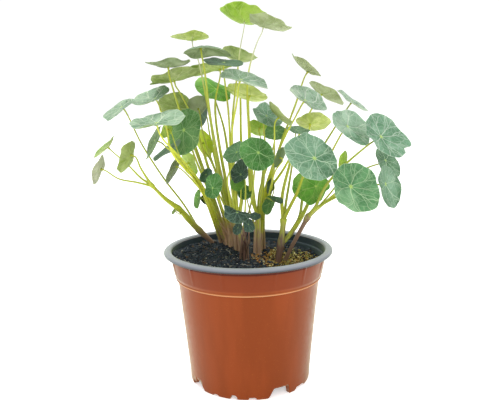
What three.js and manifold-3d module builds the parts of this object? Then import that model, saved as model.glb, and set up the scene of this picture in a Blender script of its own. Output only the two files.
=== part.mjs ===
// A young nasturtium plant in a thin plastic nursery pot. Millimetres, +Z up.
// The origin is on the pot's axis, in the plane of its feet; -Y is the front. The heights below are
// counted from a plane footDrop above the feet, and each mesh is raised by it at the end.
import * as THREE from 'three';
import { mergeVertices } from 'three/addons/utils/BufferGeometryUtils.js';
import Module from 'manifold-3d';

const wasm = await Module();
wasm.setup();

// ---- driving dimensions -------------------------------------------------------------------
const gap = 0.3; // clearance kept between neighbouring solids
const footDrop = 1.7;
const potHeight = 102.6; // top of the lip; the pot is footDrop taller in all
const lipRadius = 65;
const mouthRadius = 59.6;
const wall = 1.2;
const footRadius = 47;
const footRingWidth = 4.2;
const plateZ = 6.6; // underside of the raised base plate
const ridgeZ = 80.6;
const ridgeRadius = 56.2;
const bandBottomZ = 84.2;
const bandTopZ = 98.2;
const potSides = 40;

// drainage arches and notches round the foot: angle from the front towards +X, width, height
const archRows = [[27.4, 21, 7], [105, 16, 7], [180, 16, 7], [235, 16, 7], [262, 10, 7], [306, 14, 7]];
const notchRows = [
  [1.7, 7.5, 2], [55, 15, 2.6], [84, 4, 1.6], [130, 4, 2], [146, 5, 1.6], [208, 4, 2], [295.3, 8, 4],
  [326.3, 6, 1.6], [344.6, 7, 3.5],
];
const drainHoles = 5;
const drainRadius = 4;
const drainCircle = 32;

const soilBottom = plateZ + wall + gap;
const soilSteps = 24;
const soilRings = 4;

const bladeThickness = 0.8;
const hubOffset = 0.18; // how far the stalk stands off the blade's middle, in radii
const rimSteps = 14;
const stalkSides = 5;
const stalkStep = 19; // length of one straight run of a stalk
const stalkBaseRadius = 1.15;
const stalkTipRadius = 0.65;
const rootDepth = 6; // how far a stem reaches into the soil

const vec = ([x, y, z]) => new THREE.Vector3(x, y, z);
const radians = THREE.MathUtils.degToRad;

// ---- materials ----------------------------------------------------------------------------
const finish = (color, roughness) => new THREE.MeshStandardMaterial({ color, roughness, metalness: 0 });
const colours = {
  pot: 0xa8522e,
  soil: 0x23282a,
  moss: 0x8a8a2c,
  stem: 0xa9b43c,
  blade: 0x6fa07c,
  paleBlade: 0x9abf3c,
};

// ---- solids and meshes --------------------------------------------------------------------
function toSolid(geometry) {
  const bare = geometry.clone();
  bare.deleteAttribute('normal');
  bare.deleteAttribute('uv');
  const merged = mergeVertices(bare, 1e-4);
  const vertProperties = new Float32Array(merged.attributes.position.array);
  const triVerts = new Uint32Array(merged.index.array);
  return new wasm.Manifold(new wasm.Mesh({ numProp: 3, vertProperties, triVerts }));
}

function toGeometry(solid) {
  const { numProp, vertProperties, triVerts } = solid.getMesh();
  const places = new Float32Array((vertProperties.length / numProp) * 3);
  for (let i = 0; i < places.length / 3; i += 1) {
    for (let k = 0; k < 3; k += 1) places[3 * i + k] = vertProperties[numProp * i + k];
  }
  return closedGeometry(places, [...triVerts]);
}

function closedGeometry(places, faces) {
  const geometry = new THREE.BufferGeometry();
  geometry.setAttribute('position', new THREE.BufferAttribute(new Float32Array(places), 3));
  geometry.setIndex(faces);
  geometry.computeVertexNormals();
  return geometry;
}

const plant = new THREE.Group();

function addMesh(name, geometry, material) {
  const mesh = new THREE.Mesh(geometry.translate(0, 0, footDrop), material);
  mesh.name = name;
  plant.add(mesh);
}

// ---- the pot ------------------------------------------------------------------------------
// Outer profile: foot, tapered wall, ridge, band, rolled lip; then back down the inside.
const wallRadius = (z) => THREE.MathUtils.mapLinear(z, -footDrop, ridgeZ, footRadius - 0.4, ridgeRadius - 1.1);
const bandRadius = (z) => THREE.MathUtils.mapLinear(z, bandBottomZ, bandTopZ, 57.3, 59.9);
const insideRadius = (z) => (z < bandBottomZ ? wallRadius(z) : bandRadius(z)) - wall;

function potBlank() {
  const plateTop = plateZ + wall;
  const outside = [
    [footRadius - 0.6, -footDrop],
    [footRadius, 1.2 - footDrop],
    [wallRadius(plateTop), plateTop],
    [wallRadius(ridgeZ - 0.6), ridgeZ - 0.6],
    [ridgeRadius, ridgeZ],
    [ridgeRadius + 0.1, ridgeZ + 0.8],
    [bandRadius(bandBottomZ), bandBottomZ],
    [bandRadius(bandTopZ), bandTopZ],
    [lipRadius - 1, bandTopZ + 0.7],
    [lipRadius, bandTopZ + 2.1],
    [lipRadius - 0.9, potHeight - 0.9],
    [lipRadius - 2.6, potHeight],
    [mouthRadius + 0.6, potHeight],
  ];
  const inside = [
    [mouthRadius - 0.4, potHeight - 1.2],
    [insideRadius(bandTopZ), bandTopZ],
    [insideRadius(bandBottomZ), bandBottomZ],
    [insideRadius(bandBottomZ - 0.1), bandBottomZ - 2.2],
    [insideRadius(plateTop), plateTop],
    [0, plateTop],
    [0, plateZ],
    [footRadius - footRingWidth, plateZ],
    [footRadius - footRingWidth, -footDrop],
  ];
  const profile = [...outside, ...inside, outside[0]].map(([r, z]) => new THREE.Vector2(r, z));
  return new THREE.LatheGeometry(profile, potSides).rotateX(Math.PI / 2);
}

// A box standing on the foot ring at an angle counted from the front, towards +X.
function footCut(degrees, width, height) {
  const block = new THREE.BoxGeometry(width, 4 * footRingWidth, 2 * height);
  block.translate(0, -(footRadius - footRingWidth / 2), -footDrop);
  return toSolid(block.rotateZ(radians(degrees)));
}

function drainHole(index) {
  const drill = new THREE.CylinderGeometry(drainRadius, drainRadius, 4 * wall, 10).rotateX(Math.PI / 2);
  drill.translate(drainCircle, 0, plateZ + wall / 2);
  return toSolid(drill.rotateZ(((index + 0.5) * 2 * Math.PI) / drainHoles));
}

function pot() {
  const cuts = [
    ...[...archRows, ...notchRows].map((row) => footCut(...row)),
    ...Array.from({ length: drainHoles }, (_, index) => drainHole(index)),
  ];
  return toSolid(potBlank()).subtract(wasm.Manifold.union(cuts));
}

// ---- leaves -------------------------------------------------------------------------------
// Each blade is a round shield held from beneath, near its middle. A row gives the hub where the
// stalk meets it, the radius, how far the upper face is tilted from level and towards which compass
// angle (0 = +X, 90 = +Y), the spin of its long side about the hub, and its shape: cup lifts the whole
// rim, fold lifts the two sides, curl drops the two ends.
const leafRows = [
  // name, hub, radius, tilt, heading, spin, cup, fold, curl
  ['leaf_top_1', [0, 25, 273.4], 18, 14, 77, 178, 6, 0, 0],
  ['leaf_top_2', [13.6, -8, 267], 15, 16, 30, -70, 3, 0, 0],
  ['leaf_top_3', [-39.2, 12, 259.8], 14.5, 8, 102, 120, 3.5, 0, 1.5],
  ['leaf_crown_1', [-30.8, -24, 252], 15.4, 14, 122, -122, -3.5, 0, 0],
  ['leaf_crown_2', [-5, 66, 246], 15.6, 20, 55, -160, 3, 0, 0],
  ['leaf_crown_3', [-15.5, 0, 242.1], 15, 14, -65, -30, 1.5, 0, 0],
  ['leaf_crown_4', [-55.9, -6, 239.8], 15.6, 6, 117, 176, 2.7, 0, 0],
  ['leaf_crown_5', [-54.5, 18, 230], 19, 18, 137, 150, 3.5, 0, 1],
  ['leaf_crown_6', [-20.1, 30, 238.6], 17.1, 18, 121, 60, 2, 0, 0],
  ['leaf_crown_7', [-24, 55, 222], 15.8, 38, -47, -115, -1, 0, 0],
  ['leaf_crown_8', [-3.4, -28, 229.6], 17.5, 21, -36, 45, 2.5, 0, 1],
  ['leaf_crown_9', [3.5, 45, 217], 17, 26, 55, 130, 2, 0, 0],
  ['leaf_middle_1', [15, -8, 203], 13, 41, -51, 120, 1, 0, 1],
  ['leaf_middle_2', [23.6, -24, 202.8], 11.3, 45, 12, -150, 2, 0, 0],
  ['leaf_middle_3', [11.2, 48, 190.5], 9.8, 50, 70, 40, 1, 0, 0],
  ['leaf_middle_4', [50.5, 28, 194.5], 14, 35, 76, -83, 2, 0, 0],
  ['leaf_middle_5', [8, -48, 180.5], 12.5, 60, -71, -50, 1.5, 0, 0],
  ['leaf_middle_6', [-7, -20, 178], 9.5, 43, -114, -110, 1, 0, 0],
  ['leaf_middle_7', [-4.5, -10, 160], 9.5, 72, -139, 176, 2, 0, 0],
  ['leaf_front_1', [45, -62, 177.5], 19.5, 52, -61, -100, 2, 0, 0],
  ['leaf_front_2', [67.7, -69, 159.4], 16.8, 63, -77, 70, 2, 0, 0],
  ['leaf_front_3', [50.5, -20, 151.9], 13.6, 51, -82, -105, -1.5, 0, 0],
  ['leaf_front_4', [-24, -42, 155.5], 9, 70, -131, 172, 0.5, 0, 0],
  ['leaf_front_5', [-7, -58, 141.2], 9, 40, -85, 0, 1, 0, 0],
  ['leaf_left_1', [-59, -58, 202], 18.5, 14, -123, -150, 2.5, 0, 0],
  ['leaf_left_2', [-47, 4, 193], 17.5, 76, -130, 56, 1.5, 0, 0],
  ['leaf_left_3', [-54, 34, 209], 12.5, 58, 109, 86, 3, 0, 0],
  ['leaf_left_4', [-37, 20, 208], 8.5, 57, 116, 158, 2, 0, 0],
  ['leaf_left_5', [-36.5, 50, 203], 11, 80, -149, 90, 1, 0, 0],
  ['leaf_left_6', [-64.4, -30, 188.5], 13, 66, -163, -28, 0.5, 0, 0],
  ['leaf_left_7', [-57, -6, 180], 12.5, 35, -158, -8, 0.5, 0, 0],
  ['leaf_left_8', [-55, 12, 164.5], 10.5, 65, 163, 20, 0.5, 0, 0],
  ['leaf_left_9', [-46, 28, 165], 10.5, 78, 40, 42, 1, 0, 0],
  ['leaf_left_10', [-34.5, 40, 179.5], 10, 80, 38, 54, 1, 0, 0],
  ['leaf_outer_left_1', [-84.3, -20, 177.2], 12.6, 74, 164, 18, 2, 0, 0],
  ['leaf_outer_left_2', [-104.5, 2, 181], 11, 42, -166, -26, 0.5, 1.5, 0],
  ['leaf_outer_left_3', [-104, -30, 168.6], 10.3, 76, 168, 40, 0.5, 0, 0],
  ['leaf_outer_left_4', [-89.5, -14, 211.5], 13, 38, -144, -22, 0.5, 0, 0],
  ['leaf_outer_left_5', [-68.5, 12, 216.5], 15.5, 29, -142, -73, 2.5, 0, 0],
  ['leaf_right_1', [42, -22, 214.3], 15, 41, -44, 89, 1.5, 0, 0],
  ['leaf_right_2', [48.5, 22, 235], 14.5, 35, 12, 167, 2.5, 0, 0],
  ['leaf_right_3', [62, 46, 217], 16.5, 37, 22, -62, 2.5, 0, 0],
  ['leaf_right_4', [82.3, 20, 211.3], 13.3, 37, -22, 132, 1.5, 0, 0],
  ['leaf_right_5', [72, -24, 195.5], 16.5, 51, -55, 41, 1.5, 0, 0],
  ['leaf_right_6', [92.4, -42, 189.3], 18, 55, -60, 60, 2, 0, 0],
  ['leaf_right_7', [98.8, -30, 154.6], 15.5, 76, -39, 28, 2, 0, 0],
];

const leaves = new Map(leafRows.map((row) => [row[0], leafFrame(row)]));

// The hub's frame: normal out of the upper face, tip along the blade's long side, side across it.
function leafFrame([name, hub, radius, tilt, heading, spin, cup, fold, curl]) {
  const [lean, compass, turn] = [tilt, heading, spin].map(radians);
  const normal = vec([
    Math.sin(lean) * Math.cos(compass),
    Math.sin(lean) * Math.sin(compass),
    Math.cos(lean),
  ]);
  const downhill = vec([
    Math.cos(lean) * Math.cos(compass),
    Math.cos(lean) * Math.sin(compass),
    -Math.sin(lean),
  ]);
  const tip = downhill.applyAxisAngle(normal, turn);
  const side = new THREE.Vector3().crossVectors(normal, tip);
  return { name, hub: vec(hub), radius, normal, tip, side, cup, fold, curl };
}

// A point of the blade's middle surface: share runs from 0 at the hub to 1 at the rim. The rim is a
// circle whose middle stands hubOffset radii from the hub.
function bladePoint(leaf, share, angle) {
  const rim = hubOffset * Math.cos(angle) + Math.sqrt(1 - (hubOffset * Math.sin(angle)) ** 2);
  const along = share * rim * Math.cos(angle);
  const across = share * rim * Math.sin(angle);
  const { radius, cup, fold, curl } = leaf;
  const rise = cup * (along ** 2 + across ** 2) + fold * Math.abs(across) - curl * along ** 2;
  const narrowed = 1 / Math.hypot(1, fold / radius);
  return leaf.hub
    .clone()
    .addScaledVector(leaf.tip, radius * along)
    .addScaledVector(leaf.side, radius * across * narrowed)
    .addScaledVector(leaf.normal, rise);
}

function blade(leaf) {
  const rings = leaf.radius < 10 ? [1] : [0.55, 1];
  const places = [];
  const faces = [];
  for (const face of [0.5, -0.5]) {
    const shift = leaf.normal.clone().multiplyScalar(face * bladeThickness);
    const first = places.length / 3;
    const ringStart = (ring) => first + 1 + ring * rimSteps;
    const addFace = (a, b, c) => faces.push(...(face > 0 ? [a, b, c] : [a, c, b]));
    places.push(...leaf.hub.clone().add(shift).toArray());
    for (const share of rings) {
      for (let i = 0; i < rimSteps; i += 1) {
        const point = bladePoint(leaf, share, (2 * Math.PI * i) / rimSteps);
        places.push(...point.add(shift).toArray());
      }
    }
    for (let i = 0; i < rimSteps; i += 1) {
      const next = (i + 1) % rimSteps;
      addFace(first, ringStart(0) + i, ringStart(0) + next);
      for (let ring = 1; ring < rings.length; ring += 1) {
        const [inner, outer] = [ringStart(ring - 1), ringStart(ring)];
        addFace(inner + i, outer + i, outer + next);
        addFace(inner + i, outer + next, inner + next);
      }
    }
  }
  const half = places.length / 6;
  const edge = half - rimSteps;
  for (let i = 0; i < rimSteps; i += 1) {
    const next = (i + 1) % rimSteps;
    faces.push(edge + i, half + edge + i, half + edge + next);
    faces.push(edge + i, half + edge + next, edge + next);
  }
  return closedGeometry(places, faces);
}

// ---- stems and leaf stalks ----------------------------------------------------------------
// A tapered rod along a smooth curve, closed at both ends; radii are those at its two ends.
function stalk(points, radii) {
  const curve = new THREE.CatmullRomCurve3(points, false, 'centripetal');
  const steps = Math.max(3, Math.round(curve.getLength() / stalkStep));
  const { normals, binormals } = curve.computeFrenetFrames(steps);
  const places = [];
  const faces = [];
  for (let i = 0; i <= steps; i += 1) {
    const centre = curve.getPointAt(i / steps);
    const radius = THREE.MathUtils.lerp(radii[0], radii[1], i / steps);
    for (let k = 0; k < stalkSides; k += 1) {
      const angle = (2 * Math.PI * k) / stalkSides;
      const point = centre
        .clone()
        .addScaledVector(normals[i], radius * Math.cos(angle))
        .addScaledVector(binormals[i], radius * Math.sin(angle));
      places.push(...point.toArray());
    }
  }
  for (let i = 0; i < steps; i += 1) {
    for (let k = 0; k < stalkSides; k += 1) {
      const [a, b] = [i * stalkSides + k, i * stalkSides + ((k + 1) % stalkSides)];
      faces.push(a, b, b + stalkSides);
      faces.push(a, b + stalkSides, a + stalkSides);
    }
  }
  const last = steps * stalkSides;
  for (let k = 1; k < stalkSides - 1; k += 1) {
    faces.push(0, k + 1, k);
    faces.push(last, last + k, last + k + 1);
  }
  return closedGeometry(places, faces);
}

// The way of a leaf stalk: from its place on the stem, through the points between, up to the blade
// from beneath. It stops short of a blade that is a solid of its own, and enters a young one.
function stalkWay(from, between, leaf, reach) {
  const below = leaf.hub.clone().addScaledVector(leaf.normal, -4.5);
  const end = leaf.hub.clone().addScaledVector(leaf.normal, reach);
  return [from, ...between.map(vec), below, end];
}

// A shoot: the stem that comes out of the soil, and for each leaf the share of the stem's length
// where its stalk leaves, the leaf, and the points between. A young leaf is one with its stalk.
const shootRows = [
  {
    name: 'shoot_trailing',
    stem: [[-28, 39.5, 95], [-39.5, 24, 111], [-46, 15, 121], [-52, 6, 131], [-62, -8, 143], [-70, -22, 156]],
    radii: [2.2, 1.3],
    stalks: [
      [1, 'leaf_outer_left_1', [[-77, -21, 168]]],
      [1, 'leaf_outer_left_2', [[-77, -16, 159], [-89, -4, 168]]],
      [0.97, 'leaf_outer_left_3', [[-80, -25, 158], [-92, -27, 161]]],
      [0.25, 'leaf_outer_left_4', [[-51, 30, 130], [-65, 17, 154], [-79, 2, 183]]],
    ],
    young: [[0.6, [-56, 2, 131], 2.6, 60, -150, 0, [[-52, 3, 128]]]],
  },
  {
    name: 'shoot_left_front',
    stem: [[-20, 42.5, 95], [-23.3, 29.5, 108], [-27, 16, 124], [-35, -8, 153], [-44, -28, 170], [-52, -45, 184]],
    radii: [1.9, 0.9],
    stalks: [
      [1, 'leaf_left_1', [[-55.5, -51, 190]]],
      [0.97, 'leaf_outer_left_5', [[-56, -28, 195], [-62, -6, 206]]],
      [0.97, 'leaf_left_6', [[-55, -40, 184]]],
      [0.8, 'leaf_left_7', [[-49, -20, 172]]],
    ],
    young: [[0.9, [-57, -14, 195], 6, 74, 146, 10, [[-51, -22, 184]]]],
  },
  {
    name: 'shoot_left_back',
    stem: [[-15.5, 37.5, 95], [-18.5, 37.5, 106], [-21, 37, 118]],
    radii: [2.6, 2],
    stalks: [
      [1, 'leaf_crown_4', [[-33, 28, 153], [-46, 17, 194], [-50.5, 14, 207], [-54.5, 2, 226]]],
      [1, 'leaf_crown_5', [[-28, 28, 151], [-42, 15, 203], [-50.5, 16, 221]]],
      [0.8, 'leaf_left_3', [[-33, 36, 152], [-46, 33, 192]]],
      [0.6, 'leaf_left_2', [[-33, 20, 150], [-42, 11, 178]]],
      [0.5, 'leaf_left_8', [[-34, 25, 139], [-46, 17, 156]]],
      [0.9, 'leaf_left_9', [[-33, 25, 140], [-42, 20.5, 155]]],
    ],
    young: [
      [0.3, [-38.8, 17, 139], 7.8, 82, -162, 10, [[-28, 27, 122]]],
      [0.3, [-34.5, 23, 135.5], 4.5, 55, -40, 60, [[-27, 31, 124]]],
    ],
  },
  {
    name: 'shoot_centre_left',
    stem: [[-11.5, 29.5, 95], [-13, 27, 108], [-14, 25, 122]],
    radii: [2.5, 2],
    stalks: [
      [1, 'leaf_top_3', [[-20, 22, 152], [-28, 13, 204], [-36, 10.5, 248]]],
      [0.9, 'leaf_crown_1', [[-20, 14, 152], [-26.5, -8, 205], [-28.5, -20, 234]]],
      [0.8, 'leaf_left_4', [[-23, 25, 151], [-34, 21, 190]]],
      [1, 'leaf_left_10', [[-22, 31, 148], [-30, 37, 167]]],
      [0.7, 'leaf_left_5', [[-23, 36, 152], [-30, 46, 186]]],
      [0.5, 'leaf_front_4', [[-18, 0, 129], [-21, -28, 146]]],
    ],
    young: [[0.6, [-30.5, -6, 160], 6, 58, -130, 40, [[-20, 10, 138]]]],
  },
  {
    name: 'shoot_centre_back',
    stem: [[-7, 16.5, 95], [-8, 17, 108], [-9, 18, 121]],
    radii: [2.4, 1.9],
    stalks: [
      [1, 'leaf_crown_6', [[-17, 21, 152], [-24, 26, 210]]],
      [0.9, 'leaf_crown_7', [[-12, 31, 144], [-18, 45, 190]]],
      [0.8, 'leaf_crown_2', [[-4, 30, 140], [-4.5, 56, 186], [-4.5, 67, 218]]],
    ],
    young: [],
  },
  {
    name: 'shoot_centre',
    stem: [[-1.5, 3, 95], [-4, 3.5, 110], [-7, 4, 126]],
    radii: [2.9, 2.2],
    stalks: [
      [1, 'leaf_crown_3', [[-11, 3, 142], [-13, 1, 205]]],
      [0.9, 'leaf_top_1', [[-8.5, 10, 140], [-11, 15, 190], [-7, 20, 228], [-3, 23, 256]]],
      [0.8, 'leaf_crown_8', [[-9, 3, 141], [-11, 4, 170], [-10.5, -5, 192], [-6, -21, 216]]],
      [0.5, 'leaf_middle_6', [[-13, -11, 142], [-14, -16, 160]]],
      [0.4, 'leaf_middle_7', [[-2, -7, 130]]],
    ],
    young: [[0.7, [-6, -3, 154], 6.6, 66, -120, -30, [[-5, 0, 138]]]],
  },
  {
    name: 'shoot_front',
    stem: [[-3.4, -13, 95], [-3, -16, 106], [-1.5, -19, 118]],
    radii: [1.9, 1.6],
    stalks: [
      [1, 'leaf_middle_5', [[3, -33, 145]]],
      [0.6, 'leaf_front_5', [[-3, -35, 122]]],
    ],
    young: [
      [0.9, [5, -46, 136], 4.2, 30, -89, 0, [[3, -32, 126]]],
      [0.5, [-6.8, -47, 128], 4.3, 66, -120, 0, [[-4, -32, 115]]],
      [0.4, [0.3, -48, 130.6], 4.9, 68, -70, 10, [[1, -32, 115]]],
    ],
  },
  {
    name: 'shoot_centre_right',
    stem: [[6, 11, 95], [6.5, 12, 108], [7, 13, 121]],
    radii: [2.8, 2.2],
    stalks: [
      [1, 'leaf_top_2', [[3, 8, 142], [2, 2, 190], [2, -3, 232], [9, -7, 256]]],
      [0.9, 'leaf_crown_9', [[5, 23, 139], [3, 37, 186]]],
      [0.8, 'leaf_middle_3', [[10, 29, 136], [14, 42, 172]]],
      [1, 'leaf_middle_1', [[11.5, 4, 142], [14, -3, 178]]],
    ],
    young: [
      [0.7, [24, 25, 189.4], 8.5, 45, -73, -29, [[9.5, 23, 140], [20, 26, 172]]],
      [0.5, [-2, 8, 144.6], 5.8, 72, -100, 10, [[2, 11, 128]]],
    ],
  },
  {
    name: 'shoot_right_back',
    stem: [[10.5, 23, 95], [11, 20.5, 112], [12.2, 17, 129], [15, 11.5, 142], [21, 1, 165]],
    radii: [2.3, 1.7],
    stalks: [
      [1, 'leaf_right_1', [[28, -9, 187], [36, -17, 203]]],
      [0.7, 'leaf_right_2', [[26, 16, 178], [38.5, 20, 210]]],
      [0.6, 'leaf_middle_4', [[28, 12, 160], [42, 22, 182]]],
      [0.5, 'leaf_middle_2', [[17.2, 0, 142], [19.8, -12, 166], [20.3, -21, 188]]],
    ],
    young: [
      [0.3, [16.5, -8, 137.6], 7.4, 72, -148, 5, [[12, 6, 128]]],
      [0.45, [24, -18, 173.3], 8.6, 68, 149, -86, [[16, -3, 142], [21, -14, 163]]],
      [0.4, [18.4, 0, 150.5], 6.8, 78, -160, 10, [[17.5, 6, 135]]],
      [0.3, [21, -20, 142.6], 4.8, 28, -50, 20, [[17, -8, 128]]],
    ],
  },
  {
    name: 'shoot_right',
    stem: [[22.3, -16, 95], [24.2, -16, 106.6], [25.8, -16, 118], [26.7, -15, 127]],
    radii: [2.2, 1.9],
    stalks: [
      [1, 'leaf_front_1', [[31.8, -22, 139], [35.6, -30, 149], [39, -44, 163]]],
      [0.97, 'leaf_right_3', [[25.8, -10, 140], [33, 16, 162], [42, 40, 183], [54, 45, 206]]],
      [0.4, 'leaf_right_5', [[29.2, -15, 112.4], [39.1, -13, 126.4], [43.7, -11, 134.5], [57, -7, 163]]],
      [0.4, 'leaf_right_4', [[29.4, -14, 113], [38.5, -10, 126.2], [43, 6, 140], [52, 12, 165], [70, 17, 194]]],
      [0.4, 'leaf_front_3', [[29.2, -15.5, 112], [39.5, -14.5, 126]]],
    ],
    young: [[1, [38, 8, 191], 9, 16, -62, 57, [[29.5, -10, 142], [35, 0, 170]]]],
  },
  {
    name: 'shoot_outer_right',
    stem: [[28.1, -12, 95], [32.9, -15, 106.2], [37.9, -19, 117.1], [42.1, -22, 126], [44.8, -24, 131.6]],
    radii: [1.6, 1.5],
    stalks: [
      [1, 'leaf_front_2', [[50.9, -31, 138.9], [57.5, -44, 146], [62, -59, 152]]],
      [1, 'leaf_right_6', [[49, -31, 139.5], [55.5, -40, 156], [66, -40, 168], [87, -42, 186]]],
      [0.95, 'leaf_right_7', [[48, -29, 136.5], [59, -36, 145], [82, -31, 157]]],
    ],
    young: [
      [0.95, [103, -8, 168.8], 13, 58, -42, 30, [[65, -21, 147], [88, -10, 163]]],
      [0.9, [69.6, -25, 169], 8, 80, 147, -170, [[55, -30, 143], [65, -30, 156]]],
    ],
  },
];

function shoot(row) {
  const [first, second] = row.stem.map(vec);
  const down = first.clone().sub(second).setLength(rootDepth);
  const stem = [first.clone().add(down), first, second, ...row.stem.slice(2).map(vec)];
  const curve = new THREE.CatmullRomCurve3(row.stem.map(vec), false, 'centripetal');
  const pieces = [toSolid(stalk(stem, row.radii))];
  const slim = [stalkBaseRadius, stalkTipRadius];
  for (const [share, name, between] of row.stalks) {
    const way = stalkWay(curve.getPointAt(share), between, leaves.get(name), -bladeThickness / 2 - gap);
    pieces.push(toSolid(stalk(way, slim)));
  }
  for (const [share, hub, radius, tilt, heading, spin, between] of row.young) {
    const leaf = leafFrame([row.name, hub, radius, tilt, heading, spin, 0.6, 0, 0]);
    const way = stalkWay(curve.getPointAt(share), between, leaf, 0.1);
    pieces.push(toSolid(stalk(way, slim)), toSolid(blade(leaf)));
  }
  return wasm.Manifold.union(pieces);
}

// What a stem takes out of the soil: itself, made fatter by the gap and longer.
function stemSocket(row) {
  const [first, second] = row.stem.map(vec);
  const run = first.clone().sub(second).normalize();
  const deep = first.clone().addScaledVector(run, rootDepth + 2 * gap);
  const high = second.clone().addScaledVector(run, -2);
  const fat = row.radii[0] + 2 * gap;
  return toSolid(stalk([deep, first, high], [fat, fat]));
}

// ---- soil and moss ------------------------------------------------------------------------
// The soil lies high on the left and at the front, and low on the right.
function soilTop(x, y) {
  const slope = 94.4 - 0.055 * x;
  const mound = 2.2 * Math.exp(-((x + 14) ** 2 + (y + 34) ** 2) / 500);
  const ripple = 0.7 * Math.sin(0.21 * x + 1.3) * Math.cos(0.17 * y);
  return slope + mound + ripple;
}

function soilBody() {
  const places = [0, 0, soilTop(0, 0)];
  const faces = [];
  const ring = (radius, height) => {
    for (let i = 0; i < soilSteps; i += 1) {
      const angle = (2 * Math.PI * i) / soilSteps;
      const [x, y] = [radius(angle) * Math.cos(angle), radius(angle) * Math.sin(angle)];
      places.push(x, y, height(x, y));
    }
  };
  const flat = Math.cos(Math.PI / potSides); // a many-sided wall stands nearer than its radius
  const clear = (z) => insideRadius(z) * flat - gap;
  const rimRadius = (angle) => {
    const [x, y] = [mouthRadius * Math.cos(angle), mouthRadius * Math.sin(angle)];
    return clear(Math.min(soilTop(x, y), bandTopZ)) - 0.2;
  };
  for (let k = 1; k <= soilRings; k += 1) ring((angle) => (rimRadius(angle) * k) / soilRings, soilTop);
  ring(() => clear(bandBottomZ), () => bandBottomZ + 0.4);
  ring(() => clear(bandBottomZ - 0.1) - 0.2, () => bandBottomZ - 2.4);
  ring(() => clear(soilBottom), () => soilBottom);
  const rings = soilRings + 3;
  for (let i = 0; i < soilSteps; i += 1) {
    const next = (i + 1) % soilSteps;
    faces.push(0, 1 + i, 1 + next);
    for (let k = 1; k < rings; k += 1) {
      const [inner, outer] = [1 + (k - 1) * soilSteps, 1 + k * soilSteps];
      faces.push(inner + i, outer + i, outer + next);
      faces.push(inner + i, outer + next, inner + next);
    }
    faces.push(1 + (rings - 1) * soilSteps + i, 1 + rings * soilSteps, 1 + (rings - 1) * soilSteps + next);
  }
  places.push(0, 0, soilBottom);
  return toSolid(closedGeometry(places, faces));
}

// A low cushion of moss on the right of the soil, thinning out towards its edge.
const mossCentre = [31, -3];
const mossRadius = 20;
const mossHeight = 2.6;
const mossSteps = 18;

function mossBody() {
  const [cx, cy] = mossCentre;
  const places = [];
  const faces = [];
  const shares = [0.5, 1];
  for (const lift of [1, 0]) {
    const base = places.length / 3;
    const start = (ring) => base + 1 + ring * mossSteps;
    const addFace = (a, b, c) => faces.push(...(lift ? [a, b, c] : [a, c, b]));
    const surface = (x, y, share) => soilTop(x, y) + 2 * gap + lift * (0.5 + mossHeight * (1 - share ** 2));
    places.push(cx, cy, surface(cx, cy, 0));
    for (const share of shares) {
      for (let i = 0; i < mossSteps; i += 1) {
        const angle = (2 * Math.PI * i) / mossSteps;
        const radius = mossRadius * share * (1 + 0.12 * Math.sin(3 * angle + 1));
        const [x, y] = [cx + radius * Math.cos(angle), cy + 1.15 * radius * Math.sin(angle)];
        places.push(x, y, surface(x, y, share));
      }
    }
    for (let i = 0; i < mossSteps; i += 1) {
      const next = (i + 1) % mossSteps;
      addFace(base, start(0) + i, start(0) + next);
      addFace(start(0) + i, start(1) + i, start(1) + next);
      addFace(start(0) + i, start(1) + next, start(0) + next);
    }
  }
  const half = places.length / 6;
  const edge = half - mossSteps;
  for (let i = 0; i < mossSteps; i += 1) {
    const next = (i + 1) % mossSteps;
    faces.push(edge + i, half + edge + i, half + edge + next);
    faces.push(edge + i, half + edge + next, edge + next);
  }
  return toSolid(closedGeometry(places, faces));
}

// ---- the whole plant ----------------------------------------------------------------------
const sockets = wasm.Manifold.union(shootRows.map(stemSocket));
addMesh('pot', toGeometry(pot()), finish(colours.pot, 0.45));
addMesh('soil', toGeometry(soilBody().subtract(sockets)), finish(colours.soil, 0.95));
addMesh('moss', toGeometry(mossBody().subtract(sockets)), finish(colours.moss, 0.9));
for (const row of shootRows) {
  addMesh(row.name, toGeometry(shoot(row)), finish(colours.stem, 0.5));
}
for (const leaf of leaves.values()) {
  addMesh(leaf.name, blade(leaf), finish(leaf.radius < 13 ? colours.paleBlade : colours.blade, 0.55));
}

export default plant;
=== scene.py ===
from math import pi, radians

import bpy
import numpy as np
from mathutils import Euler, Matrix, Vector


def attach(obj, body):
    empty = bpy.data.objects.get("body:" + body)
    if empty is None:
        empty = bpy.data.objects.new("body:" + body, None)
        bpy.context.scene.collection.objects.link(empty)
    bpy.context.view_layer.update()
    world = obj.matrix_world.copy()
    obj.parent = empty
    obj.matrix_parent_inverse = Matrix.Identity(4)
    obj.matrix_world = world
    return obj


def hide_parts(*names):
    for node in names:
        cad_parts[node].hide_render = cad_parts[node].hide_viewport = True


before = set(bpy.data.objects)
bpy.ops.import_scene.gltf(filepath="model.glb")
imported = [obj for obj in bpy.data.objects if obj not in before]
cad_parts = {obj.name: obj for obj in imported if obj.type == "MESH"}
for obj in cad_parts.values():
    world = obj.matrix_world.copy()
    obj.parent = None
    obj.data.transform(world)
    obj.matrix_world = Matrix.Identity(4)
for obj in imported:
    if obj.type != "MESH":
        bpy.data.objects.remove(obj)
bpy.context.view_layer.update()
millimetre = 0.001
footDrop = 1.7  # the pot stands this far below the plane that the plant's heights are counted from, in mm
print("frame loaded,", len(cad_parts), "nodes")

# the camera's angles are in degrees, its place in metres
view = {"place": (0.0, -0.5, 0.2313), "pitch": 10.26, "yaw": 0.23, "roll": -0.92, "lens": 47.92}
studio = {"sky": 1.06, "skyColour": (255, 255, 255), "floor": (250, 250, 250), "floorGlow": 0.5}
lamps = [  # name, place, aimed at, side of the square in metres, watts
    ("lampTop", (-0.25, 0.3, 1.3), (0, 0, 0.15), 0.9, 12),
    ("lampFront", (0.5, -1.1, 0.9), (0, 0, 0.15), 0.8, 4),
]


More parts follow.
